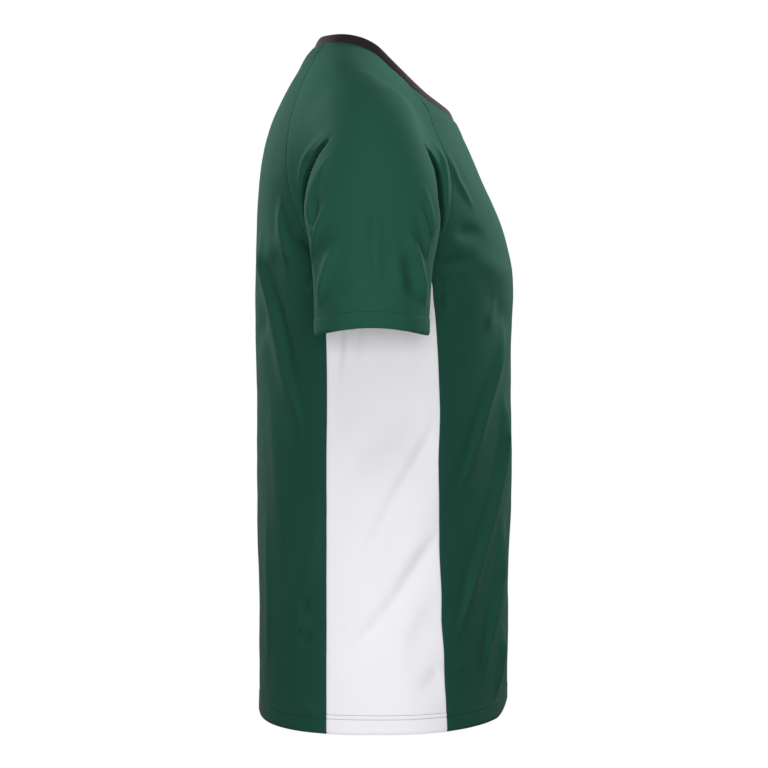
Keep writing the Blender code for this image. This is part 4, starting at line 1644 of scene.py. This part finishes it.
class Shader:
    """A material's nodes."""

    def __init__(self, name: str) -> None:
        """Starts a material with nothing but its output."""
        self.material = bpy.data.materials.new(name)
        self.material.use_nodes = True
        self.tree = self.material.node_tree
        self.tree.nodes.clear()

    def node(self, kind: str, settings: dict[str, Any], sockets: dict[Any, Any], output: Any = 0) -> Value:
        """Adds a node.

        Args:
            kind: The node's type.
            settings: What is set on the node before its sockets.
            sockets: The value or link of each input socket, by name or number.
            output: Which output is wanted.

        Returns:
            The output.
        """
        made = self.tree.nodes.new(kind)
        for name, setting in settings.items():
            setattr(made, name, setting)
        for name, value in sockets.items():
            if isinstance(value, Value):
                self.tree.links.new(value.socket, made.inputs[name])
            else:
                made.inputs[name].default_value = value
        return Value(self, made.outputs[output] if len(made.outputs) else None)

    def flat_place(self) -> tuple[Value, Value]:
        """The place on the flat cloth, across and along it, in metres."""
        flat = self.node("ShaderNodeUVMap", {"uv_map": "flat"}, {})
        split = self.node("ShaderNodeSeparateXYZ", {}, {0: flat})
        return split, Value(self, split.socket.node.outputs[1])

    def cloudy(self, size: float, detail: float = 2.0) -> Value:
        """Soft noise from 0 to 1 that changes over this size."""
        place = self.node("ShaderNodeTexCoord", {}, {}, "Object")
        return self.node(
            "ShaderNodeTexNoise", {}, {"Vector": place, "Scale": 1 / size, "Detail": detail, "Roughness": 0.5}
        )

    def blended(self, first: Any, second: Any, share: Any) -> Value:
        """Mixes two colours, all of the second where share is 1."""
        return self.node("ShaderNodeMix", {"data_type": "RGBA"}, {0: share, 6: first, 7: second}, 2)

    def finish(self, surface: dict[str, Any], height: Value, depth: float) -> bpy.types.Material:
        """Ends the material.

        Args:
            surface: The values and links of the Principled shader's sockets.
            height: The fine relief, from 0 to 1.
            depth: How deep the relief is, in metres.

        Returns:
            The material.
        """
        bump = self.node("ShaderNodeBump", {}, {"Strength": 1.0, "Distance": depth, "Height": height})
        principled = self.node("ShaderNodeBsdfPrincipled", {}, {**surface, "Normal": bump})
        self.node("ShaderNodeOutputMaterial", {}, {"Surface": principled})
        return self.material


def rgba(colour: tuple[float, float, float], times: float = 1.0) -> tuple[float, float, float, float]:
    """A colour with its alpha, made lighter or darker."""
    return (*(part * times for part in colour), 1.0)


@dataclass(frozen=True)
class KnitFinish:
    """Smooth polyester knit: columns of small loops with a faint sheen."""

    name: str
    colour: tuple[float, float, float]
    wale: float = 0.00085
    course: float = 0.00062
    relief: float = 0.00005
    gap_shade: float = 0.86
    unevenness: float = 0.05
    roughness: float = 0.85
    specular: float = 0.012
    sheen: float = 0.03

    def material(self) -> bpy.types.Material:
        """The finish as a material."""
        shader = Shader(self.name)
        across, along = shader.flat_place()
        from_middle = ((across / self.wale).fraction() - 0.5).size() * 2
        loop = ((along / self.course + from_middle * 0.55).fraction() - 0.5).size() * 2
        height = (1 - loop * loop) * (1 - from_middle * from_middle * 0.85)
        cloud, yarn = shader.cloudy(0.070), shader.cloudy(0.0032, 1.0)
        uneven = cloud * 0.6 + yarn * 0.4
        low, high = 1 - self.unevenness, 1 + self.unevenness
        body = shader.blended(rgba(self.colour, low), rgba(self.colour, high), uneven)
        colour = shader.blended(rgba(self.colour, self.gap_shade), body, height * 0.7 + 0.3)
        return shader.finish(
            {
                "Base Color": colour,
                "Roughness": uneven * 0.10 + (self.roughness - 0.05),
                "Specular IOR Level": self.specular,
                "Sheen Weight": self.sheen,
                "Sheen Roughness": 0.45,
                "Sheen Tint": rgba(tuple(0.5 + 0.5 * part for part in self.colour)),
            },
            height * 0.85 + yarn * 0.15,
            self.relief,
        )


@dataclass(frozen=True)
class RibFinish:
    """Dense rib: its ribs are in the shape, its loops are here, with painted shade between them."""

    name: str
    colour: tuple[float, float, float]
    course: float = 0.00060

    def material(self) -> bpy.types.Material:
        """The finish as a material."""
        shader = Shader(self.name)
        across, along = shader.flat_place()
        tilt = ((across / 0.0010).fraction() - 0.5).size()
        loop = ((along / self.course + tilt).fraction() - 0.5).size() * 2
        cloud, yarn = shader.cloudy(0.020), shader.cloudy(0.0020, 1.0)
        body = shader.blended(rgba(self.colour, 0.86), rgba(self.colour, 1.16), cloud * 0.4 + yarn * 0.6)
        # Painted shade: the colour darkens towards each loop's edge, where shade falls between the loops
        colour = shader.blended(rgba(self.colour, 0.70), body, 1 - loop * loop * 0.7)
        return shader.finish(
            {
                "Base Color": colour,
                "Roughness": yarn * 0.12 + 0.72,
                "Specular IOR Level": 0.06,
                "Sheen Weight": 0.02,
                "Sheen Roughness": 0.50,
                "Sheen Tint": rgba((0.62, 0.56, 0.60)),
            },
            (1 - loop * loop) * 0.8 + yarn * 0.2,
            0.00008,
        )


@dataclass(frozen=True)
class ThreadFinish:
    """Twisted sewing thread."""

    name: str
    colour: tuple[float, float, float]
    ply: float = 0.00022

    def material(self) -> bpy.types.Material:
        """The finish as a material."""
        shader = Shader(self.name)
        across, along = shader.flat_place()
        twist = ((across + along) * (2 * math.pi / self.ply)).sine() * 0.5 + 0.5
        fuzz = shader.cloudy(0.0010, 1.0)
        # Painted shade and light: the colour is darker in the grooves between the plies and lighter on them
        colour = shader.blended(rgba(self.colour, 0.72), rgba(self.colour, 1.12), twist * 0.7 + fuzz * 0.3)
        return shader.finish(
            {"Base Color": colour, "Roughness": fuzz * 0.10 + 0.50, "Specular IOR Level": 0.15},
            twist,
            0.00004,
        )


@dataclass(frozen=True)
class FloorFinish:
    """A pale studio floor."""

    name: str = "pale_floor"
    colour: tuple[float, float, float] = (0.40, 0.40, 0.40)
    glow: float = 1.0

    def material(self) -> bpy.types.Material:
        """The finish as a material."""
        shader = Shader(self.name)
        cloud = shader.cloudy(0.50)
        colour = shader.blended(rgba(self.colour, 0.985), rgba(self.colour), cloud)
        plain = shader.node(
            "ShaderNodeBsdfPrincipled", {}, {"Base Color": colour, "Roughness": cloud * 0.1 + 0.80}
        )
        glow = shader.node("ShaderNodeEmission", {}, {"Color": rgba((1.0, 1.0, 1.0)), "Strength": self.glow})
        seen = shader.node("ShaderNodeLightPath", {}, {}, "Is Camera Ray")
        mixed = shader.node("ShaderNodeMixShader", {}, {0: seen, 1: plain, 2: glow})
        shader.node("ShaderNodeOutputMaterial", {}, {"Surface": mixed})
        return shader.material


@dataclass
class Finishes:
    """Every finish on the jersey, made once."""

    # Painted light and shade: the body and the sleeves are one green cloth. The sleeves' copy is lighter and
    # the body's darker, for the light that falls more on the sleeves
    green: KnitFinish = KnitFinish("green_knit", (0.0150, 0.0690, 0.0465))
    sleeve_green: KnitFinish = KnitFinish("sleeve_green_knit", (0.0185, 0.0860, 0.0575))
    white: KnitFinish = KnitFinish("white_knit", (0.89, 0.88, 0.92), gap_shade=0.94, unevenness=0.010)
    rib: RibFinish = RibFinish("neck_rib", (0.024, 0.017, 0.022))
    green_thread: ThreadFinish = ThreadFinish("green_thread", (0.011, 0.042, 0.029))
    grey_thread: ThreadFinish = ThreadFinish("grey_thread", (0.055, 0.060, 0.062))

    def __post_init__(self) -> None:
        """Makes the materials."""
        self.materials = {finish.name: finish.material() for finish in vars(self).copy().values()}

    def dress(self, piece: bpy.types.Object, name: str) -> None:
        """Gives a piece one of the finishes."""
        piece.data.materials.append(self.materials[name])


# ---------------------------------------------------------------------------------------------------
# Stitches
# ---------------------------------------------------------------------------------------------------


@dataclass(frozen=True)
class StitchStyle:
    """One kind of stitch: a short thread that dives into the cloth at both ends."""

    length: float = 0.0026
    gap: float = 0.0005
    radius: float = 0.00020
    rise: float = 0.00006
    sides: int = 6
    stations: tuple[tuple[float, float, float], ...] = (
        (0.00, 0.30, -1.2),
        (0.08, 0.80, -0.3),
        (0.28, 1.00, 0.1),
        (0.50, 1.00, 0.2),
        (0.72, 1.00, 0.1),
        (0.92, 0.80, -0.3),
        (1.00, 0.30, -1.2),
    )

    def sewn(self, name: str, lines: Sequence[tuple[Array, Array]]) -> bpy.types.Object:
        """Sews along lines on the cloth.

        Args:
            name: The object's name.
            lines: Each line's points and the outward directions at them.

        Returns:
            All the stitches as one object.
        """
        share, swell, lift = np.array(self.stations).T
        turns = np.linspace(0, 2 * np.pi, self.sides, endpoint=False)
        rings = []
        for points, outward in lines:
            run = run_of(points)
            count = max(1, int(run[-1] / (self.length + self.gap)))
            pitch = run[-1] / count
            at = (np.arange(count)[:, None] * pitch + self.gap / 2 + share * (pitch - self.gap)).reshape(-1)
            slope = np.gradient(points, axis=0)
            place, up, along = (
                np.stack([np.interp(at, run, part[:, k]) for k in range(3)], axis=-1)
                for part in (points, outward, slope)
            )
            along = unit(along)
            up = unit(up - along * (up * along).sum(axis=-1, keepdims=True))
            across = np.cross(along, up)
            thick = np.tile(swell, count)[:, None] * self.radius
            centre = place + up * (self.rise + np.tile(lift, count)[:, None] * self.radius)
            ring = np.stack(
                [centre + thick * (math.cos(t) * across + math.sin(t) * up) for t in turns], axis=1
            )
            rings.append(ring.reshape(count, len(share), self.sides, 3))
        grid = np.concatenate(rings)
        number = np.arange(grid[..., 0].size).reshape(grid.shape[:-1])
        ahead = np.roll(number, -1, axis=2)
        walls = np.stack([number[:, :-1], number[:, 1:], ahead[:, 1:], ahead[:, :-1]], axis=-1).reshape(-1, 4)
        halves = [0, 1, 2, 3], [3, 4, 5, 0]
        caps = [number[:, 0][:, order] for order in halves]
        caps += [number[:, -1][:, order[::-1]] for order in halves]
        quads = np.concatenate([walls, *caps])
        run_flat = np.broadcast_to((share * self.length)[None, :, None], number.shape)
        turn_flat = np.broadcast_to(np.arange(self.sides)[None, None] * self.radius, number.shape)
        flats = np.stack([turn_flat, run_flat], axis=-1).reshape(-1, 2)[quads]
        return mesh_object(name, grid.reshape(-1, 3), quads, flats)


HEM_STITCH = StitchStyle()
SEAM_STITCH = StitchStyle(length=0.0016, gap=0.0008, radius=0.00016, rise=0.00004)


def cloth_normals(points: Array) -> Array:
    """Outward directions of a grid of points, from its own shape."""
    return unit(np.cross(np.gradient(points, axis=0), np.gradient(points, axis=1)))


# ---------------------------------------------------------------------------------------------------
# The jersey's pieces
# ---------------------------------------------------------------------------------------------------


@dataclass
class ClothPiece:
    """What every cut piece of the jersey shares."""

    pattern: Pattern
    relief: Relief
    finishes: Finishes
    wall: float = 0.0010
    hem_wall: float = 0.0019
    step: float = 0.0012
    topstitch_drop: float = 0.005

    def walls(self, above: Array) -> Array:
        """The cloth's thickness at these heights above the hem's edge, doubled where it is turned up."""
        turned = 1 - eased((above - LEVELS.turn) / self.step)
        return self.wall + (self.hem_wall - self.wall) * turned

    def placed(self, piece: bpy.types.Object, finish: str, slot: str) -> bpy.types.Object:
        """Gives a piece its finish and lets it ride on the jersey's body."""
        self.finishes.dress(piece, finish)
        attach(piece, "root")
        LOG.info("%s: %d faces", piece.name, len(piece.data.polygons))
        return piece

    def row_line(
        self, points: Array, outward_sign: float, row: int, columns: slice = slice(None)
    ) -> tuple[Array, Array]:
        """A row of the creased grid, as a line to sew along."""
        return points[row, columns], (cloth_normals(points) * outward_sign)[row, columns]

    def neck_row(self, patch: Patch) -> int:
        """The row that the topstitching under the neck band runs along."""
        down = patch.flat[0, patch.points.shape[1] // 2, 1] - patch.flat[:, patch.points.shape[1] // 2, 1]
        return int(np.abs(down - self.topstitch_drop).argmin())

    def hem_rows(self, above: Array, style: HemStyle) -> list[int]:
        """The rows that lie nearest to the hem's stitch lines."""
        return [int(np.abs(above[:, above.shape[1] // 2] - height).argmin()) for height in style.stitched_at]


@dataclass
class Body(ClothPiece):
    """The front, the back and the two side panels."""

    front_flat: tuple[float, float] = (0.50, 0.68)
    front_area: float = 0.262
    back_flat: tuple[float, float] = (0.50, 0.71)
    back_area: float = 0.280
    side_flat: tuple[float, float] = (0.125, 0.465)
    side_area: float = 0.053

    def build(self) -> None:
        """Builds and dresses the four pieces and their hem stitches."""
        front, back, side_panel = self.pattern.front(), self.pattern.back(), self.pattern.side_panel()
        self.make("front", front, Side.LEFT, "green_knit", "green_thread", self.front_flat, self.front_area)
        self.make("back", back, Side.LEFT, "green_knit", "green_thread", self.back_flat, self.back_area)
        for side in Side:
            name = "side_panel_" + side.name.lower()
            self.make(name, side_panel, side, "white_knit", "grey_thread", self.side_flat, self.side_area)

    def make(
        self,
        node: str,
        patch: Patch,
        side: Side,
        finish: str,
        thread: str,
        flat: tuple[float, float],
        area: float,
    ) -> None:
        """Builds one piece with its hem stitches.

        Args:
            node: The solid that it stands for.
            patch: Its patch on the left.
            side: Which side it is made for.
            finish: Its knit.
            thread: Its hem's thread.
            flat: Width and length of the cut piece. Not used.
            area: Its flat area. Not used.
        """
        patch = patch.on_side(side)
        points = self.relief.shifted(patch, Cover.BODY, BODY_HEM)
        above = patch.above_edge()
        wide, wide_flat = with_turnings(points, patch.outward, patch.flat, (Edge.TOP, Edge.FIRST, Edge.LAST))
        added_rows, added_columns = len(wide) - len(points), (wide.shape[1] - points.shape[1]) // 2
        wall = np.pad(self.walls(above), ((added_rows, 0), (added_columns, added_columns)), mode="edge")
        shell = Shell()
        shell.add_cells(shell.add_points(wide, wide_flat, wall), wide_flat)
        piece = self.placed(shell.build(node + "_cloth", flip=side is Side.RIGHT), finish, finish)
        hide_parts(node)
        lines = [self.row_line(points, side.value, row) for row in self.hem_rows(above, BODY_HEM)]
        stitches = self.placed(HEM_STITCH.sewn(node + "_hem_stitches", lines), thread, finish)
        if finish == "white_knit":
            normals = cloth_normals(points) * side.value
            seams = [(points[:, column], normals[:, inner]) for column, inner in ((0, 4), (-1, -5))]
            overlock = SEAM_STITCH.sewn(node + "_seam_stitches", seams)
            self.placed(overlock, "green_thread", "green_knit")
        else:
            neck = self.row_line(points, side.value, self.neck_row(patch), slice(3, -3))
            self.placed(HEM_STITCH.sewn(node + "_neck_stitches", [neck]), thread, finish)


@dataclass
class Sleeves(ClothPiece):
    """The two short raglan sleeves."""

    flat: tuple[float, float] = (0.40, 0.34)
    area: float = 0.096

    def build(self) -> None:
        """Builds and dresses both sleeves with their stitches."""
        upper, lower = self.pattern.sleeve()
        for side in Side:
            self.make(side, upper.on_side(side), lower.on_side(side))

    def make(self, side: Side, upper: Patch, lower: Patch) -> None:
        """Builds one sleeve.

        Args:
            side: The wearer's side.
            upper: Its part above the armpit.
            lower: Its closed tube below the armpit.
        """
        high = self.relief.shifted(upper, Cover.SLEEVE)
        low = self.relief.shifted(lower, Cover.SLEEVE, SLEEVE_HEM)
        columns = high.shape[1]
        low[0, :columns] = high[-1]
        low[:, -1] = low[:, 0]
        wide, wide_flat = with_turnings(high, upper.outward, upper.flat, (Edge.TOP, Edge.FIRST, Edge.LAST))
        added = (wide.shape[1] - columns) // 2
        above = lower.above_edge()
        shell = Shell()
        numbers = shell.add_points(wide, wide_flat, self.wall)
        shell.add_cells(numbers, wide_flat)
        under = shell.add_points(low[:1, columns:-1], lower.flat[:1, columns:-1], self.wall)
        rest = shell.add_points(low[1:, :-1], lower.flat[1:, :-1], self.walls(above)[1:, :-1])
        joined = numbers[-1, added : added + columns]
        first_row = np.concatenate([joined, under[0], joined[:1]])
        tube = np.vstack([first_row, np.column_stack([rest, rest[:, 0]])])
        shell.add_cells(tube, lower.flat)
        name = "sleeve_" + side.name.lower()
        cloth = shell.build(name + "_cloth", flip=side is Side.RIGHT)
        # The sleeve takes the copy of the green that is painted lighter: painted light for the light that
        # falls more on the sleeves
        piece = self.placed(cloth, "sleeve_green_knit", "green_knit")
        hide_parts(name)
        lines = [self.row_line(low, side.value, row) for row in self.hem_rows(above, SLEEVE_HEM)]
        stitches = self.placed(HEM_STITCH.sewn(name + "_hem_stitches", lines), "green_thread", "green_knit")
        neck = self.row_line(high, side.value, self.neck_row(upper), slice(3, -3))
        topstitch = HEM_STITCH.sewn(name + "_neck_stitches", [neck])
        topstitch = self.placed(topstitch, "green_thread", "green_knit")


@dataclass
class Collar(ClothPiece):
    """The neck rib: a doubled band that stands on the neckline and leans into the neck."""

    height: float = 0.0118
    band_wall: float = 0.0022
    upright_front: float = 0.45
    upright_side: float = 0.62
    upright_back: float = 0.35
    rib: float = 0.0021
    rib_height: float = 0.00017
    points_per_rib: int = 6
    section: tuple[tuple[float, float], ...] = (
        (-0.10, -0.0006),
        (-0.03, -0.0002),
        (0.05, 0.0001),
        (0.20, 0.0003),
        (0.40, 0.0004),
        (0.60, 0.0004),
        (0.78, 0.0002),
        (0.90, -0.0001),
        (0.97, -0.0005),
        (1.00, -0.0011),
        (0.97, -0.0017),
        (0.90, -0.0020),
        (0.78, -0.0022),
        (0.60, -0.0023),
        (0.40, -0.0023),
        (0.20, -0.0022),
        (0.05, -0.0021),
        (-0.10, -0.0018),
    )
    flat: tuple[float, float] = (0.50, 0.0145)

    def build(self) -> None:
        """Builds and dresses the band."""
        half = self.pattern.neck_half
        loop = np.vstack([half, half[-2:0:-1] * MIRROR, half[:1]])
        length = run_of(loop)[-1]
        ribs = round(length / self.rib)
        columns = ribs * self.points_per_rib
        shares = np.arange(columns) / columns
        ring = placed_along(loop, shares)
        along = unit(np.roll(ring, -1, axis=0) - np.roll(ring, 1, axis=0))
        upward = np.cross(TORSO_FORM.outward(ring), along)
        depth = self.pattern.neck_back_y - self.pattern.neck_front_y
        forward = (self.pattern.neck_back_y - ring[:, 1]) / depth
        upright = np.interp(forward, [0, 0.45, 1], [self.upright_back, self.upright_side, self.upright_front])
        rise = unit(upward * (1 - upright)[:, None] + UP * upright[:, None])
        face = unit(np.cross(along, rise))
        wave = np.abs(np.sin(np.pi * np.arange(columns) / self.points_per_rib)) ** 0.7 - 0.6
        wander = 0.0004 * ripple(ring, 0.045, 4.0)
        rows = []
        middle = -self.band_wall / 2
        for up, out in self.section:
            swell = self.rib_height * wave * math.copysign(1, out - middle) * (1 - eased((up - 0.90) / 0.1))
            rows.append(ring + rise * up * self.height + face * (out + swell + wander * eased(up))[:, None])
        grid = np.array(rows)[::-1]
        around = np.concatenate([grid, grid[:1]])
        around = np.concatenate([around, around[:, :1]], axis=1)
        number = np.arange(grid[..., 0].size).reshape(grid.shape[:-1])
        number = np.concatenate([number, number[:1]])
        number = np.concatenate([number, number[:, :1]], axis=1)
        across = np.broadcast_to(np.arange(columns + 1) * (length / columns), number.shape)
        downward = np.zeros(number.shape)
        downward[1:] = np.cumsum(np.linalg.norm(np.diff(around, axis=0), axis=-1), axis=0)
        flats = Shell.corners(np.stack([across, -downward], axis=-1)).reshape(-1, 4, 2)
        piece = mesh_object("neck_rib_band", grid.reshape(-1, 3), Shell.corners(number).reshape(-1, 4), flats)
        self.placed(piece, "neck_rib", "neck_rib")
        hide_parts("collar")


# ---------------------------------------------------------------------------------------------------
# Studio
# ---------------------------------------------------------------------------------------------------


@dataclass(frozen=True)
class Softbox:
    """A square soft light that faces a point."""

    name: str
    place: tuple[float, float, float]
    size: tuple[float, float]
    power: float
    faces: tuple[float, float, float] = (0.0, 0.0, -0.34)

    def build(self) -> None:
        """Adds the light."""
        light = bpy.data.lights.new(self.name, "AREA")
        light.shape = "RECTANGLE"
        light.size, light.size_y = self.size
        light.energy = self.power
        lamp = bpy.data.objects.new(self.name, light)
        lamp.location = self.place
        lamp.rotation_euler = (Vector(self.faces) - Vector(self.place)).to_track_quat("-Z", "Y").to_euler()
        bpy.context.collection.objects.link(lamp)


@dataclass
class Studio:
    """The camera, the pale floor, the lights and the plain surroundings."""

    camera_place: tuple[float, float, float] = (-2.222, 0.001, -0.344)
    lens: float = 100.0
    floor_z: float = -1.25
    floor_half: float = 30.0
    seen_white: float = 1.0
    ambient: float = 0.17
    boxes: tuple[Softbox, ...] = (
        Softbox("key", (-3.1, 0.0, -0.35), (1.2, 1.2), 57.0),
        Softbox("overhead", (-1.3, 0.10, 1.60), (1.2, 1.2), 15.0),
        Softbox("front_fill", (0.30, -0.59, 0.13), (0.25, 0.25), 8.0, (-0.02, -0.10, -0.10)),
        Softbox("back_fill", (0.30, 0.59, 0.13), (0.25, 0.25), 8.0, (-0.02, 0.10, -0.10)),
        Softbox("front_top", (1.08, -1.08, 0.99), (0.7, 0.7), 18.0),
        Softbox("front_rim", (2.30, -1.20, -0.40), (0.5, 1.4), 9.0),
        Softbox("back_rim", (2.30, 1.20, -0.40), (0.5, 1.4), 14.0),
    )

    def build(self) -> None:
        """Builds all of it."""
        camera = bpy.data.cameras.new("camera")
        camera.lens = self.lens
        camera.sensor_width = 36.0
        camera.clip_end = 100.0
        seat = bpy.data.objects.new("camera", camera)
        seat.location = self.camera_place
        seat.rotation_euler = (math.pi / 2, 0.0, -math.pi / 2)
        bpy.context.collection.objects.link(seat)
        bpy.context.scene.camera = seat
        half = self.floor_half
        corners = np.array([[-half, -half, 0], [half, -half, 0], [half, half, 0], [-half, half, 0]])
        floor = mesh_object("floor", corners + np.array([0, 0, self.floor_z]), np.array([[0, 1, 2, 3]]))
        floor.data.materials.append(FloorFinish().material())
        for box in self.boxes:
            box.build()
        self.surroundings()
        view = bpy.context.scene.view_settings
        view.view_transform, view.look = "Standard", "None"

    def surroundings(self) -> None:
        """A plain white world that lights the jersey less than it shows."""
        world = bpy.data.worlds.new("surroundings")
        world.use_nodes = True
        tree = world.node_tree
        tree.nodes.clear()
        path = tree.nodes.new("ShaderNodeLightPath")
        strength = tree.nodes.new("ShaderNodeMix")
        strength.inputs[2].default_value, strength.inputs[3].default_value = self.ambient, self.seen_white
        tree.links.new(path.outputs["Is Camera Ray"], strength.inputs[0])
        background = tree.nodes.new("ShaderNodeBackground")
        background.inputs["Color"].default_value = (1.0, 1.0, 1.0, 1.0)
        tree.links.new(strength.outputs[0], background.inputs["Strength"])
        output = tree.nodes.new("ShaderNodeOutputWorld")
        tree.links.new(background.outputs[0], output.inputs["Surface"])
        bpy.context.scene.world = world


def main() -> None:
    """Builds the studio and the jersey."""
    logging.basicConfig(level=logging.INFO, format="%(message)s")
    Studio().build()
    pattern = Pattern()
    relief = Relief(pattern)
    finishes = Finishes()
    for part in (Body, Sleeves, Collar):
        part(pattern, relief, finishes).build()
        LOG.info("built: %s", part.__name__)


if __name__ == "__main__":
    main()
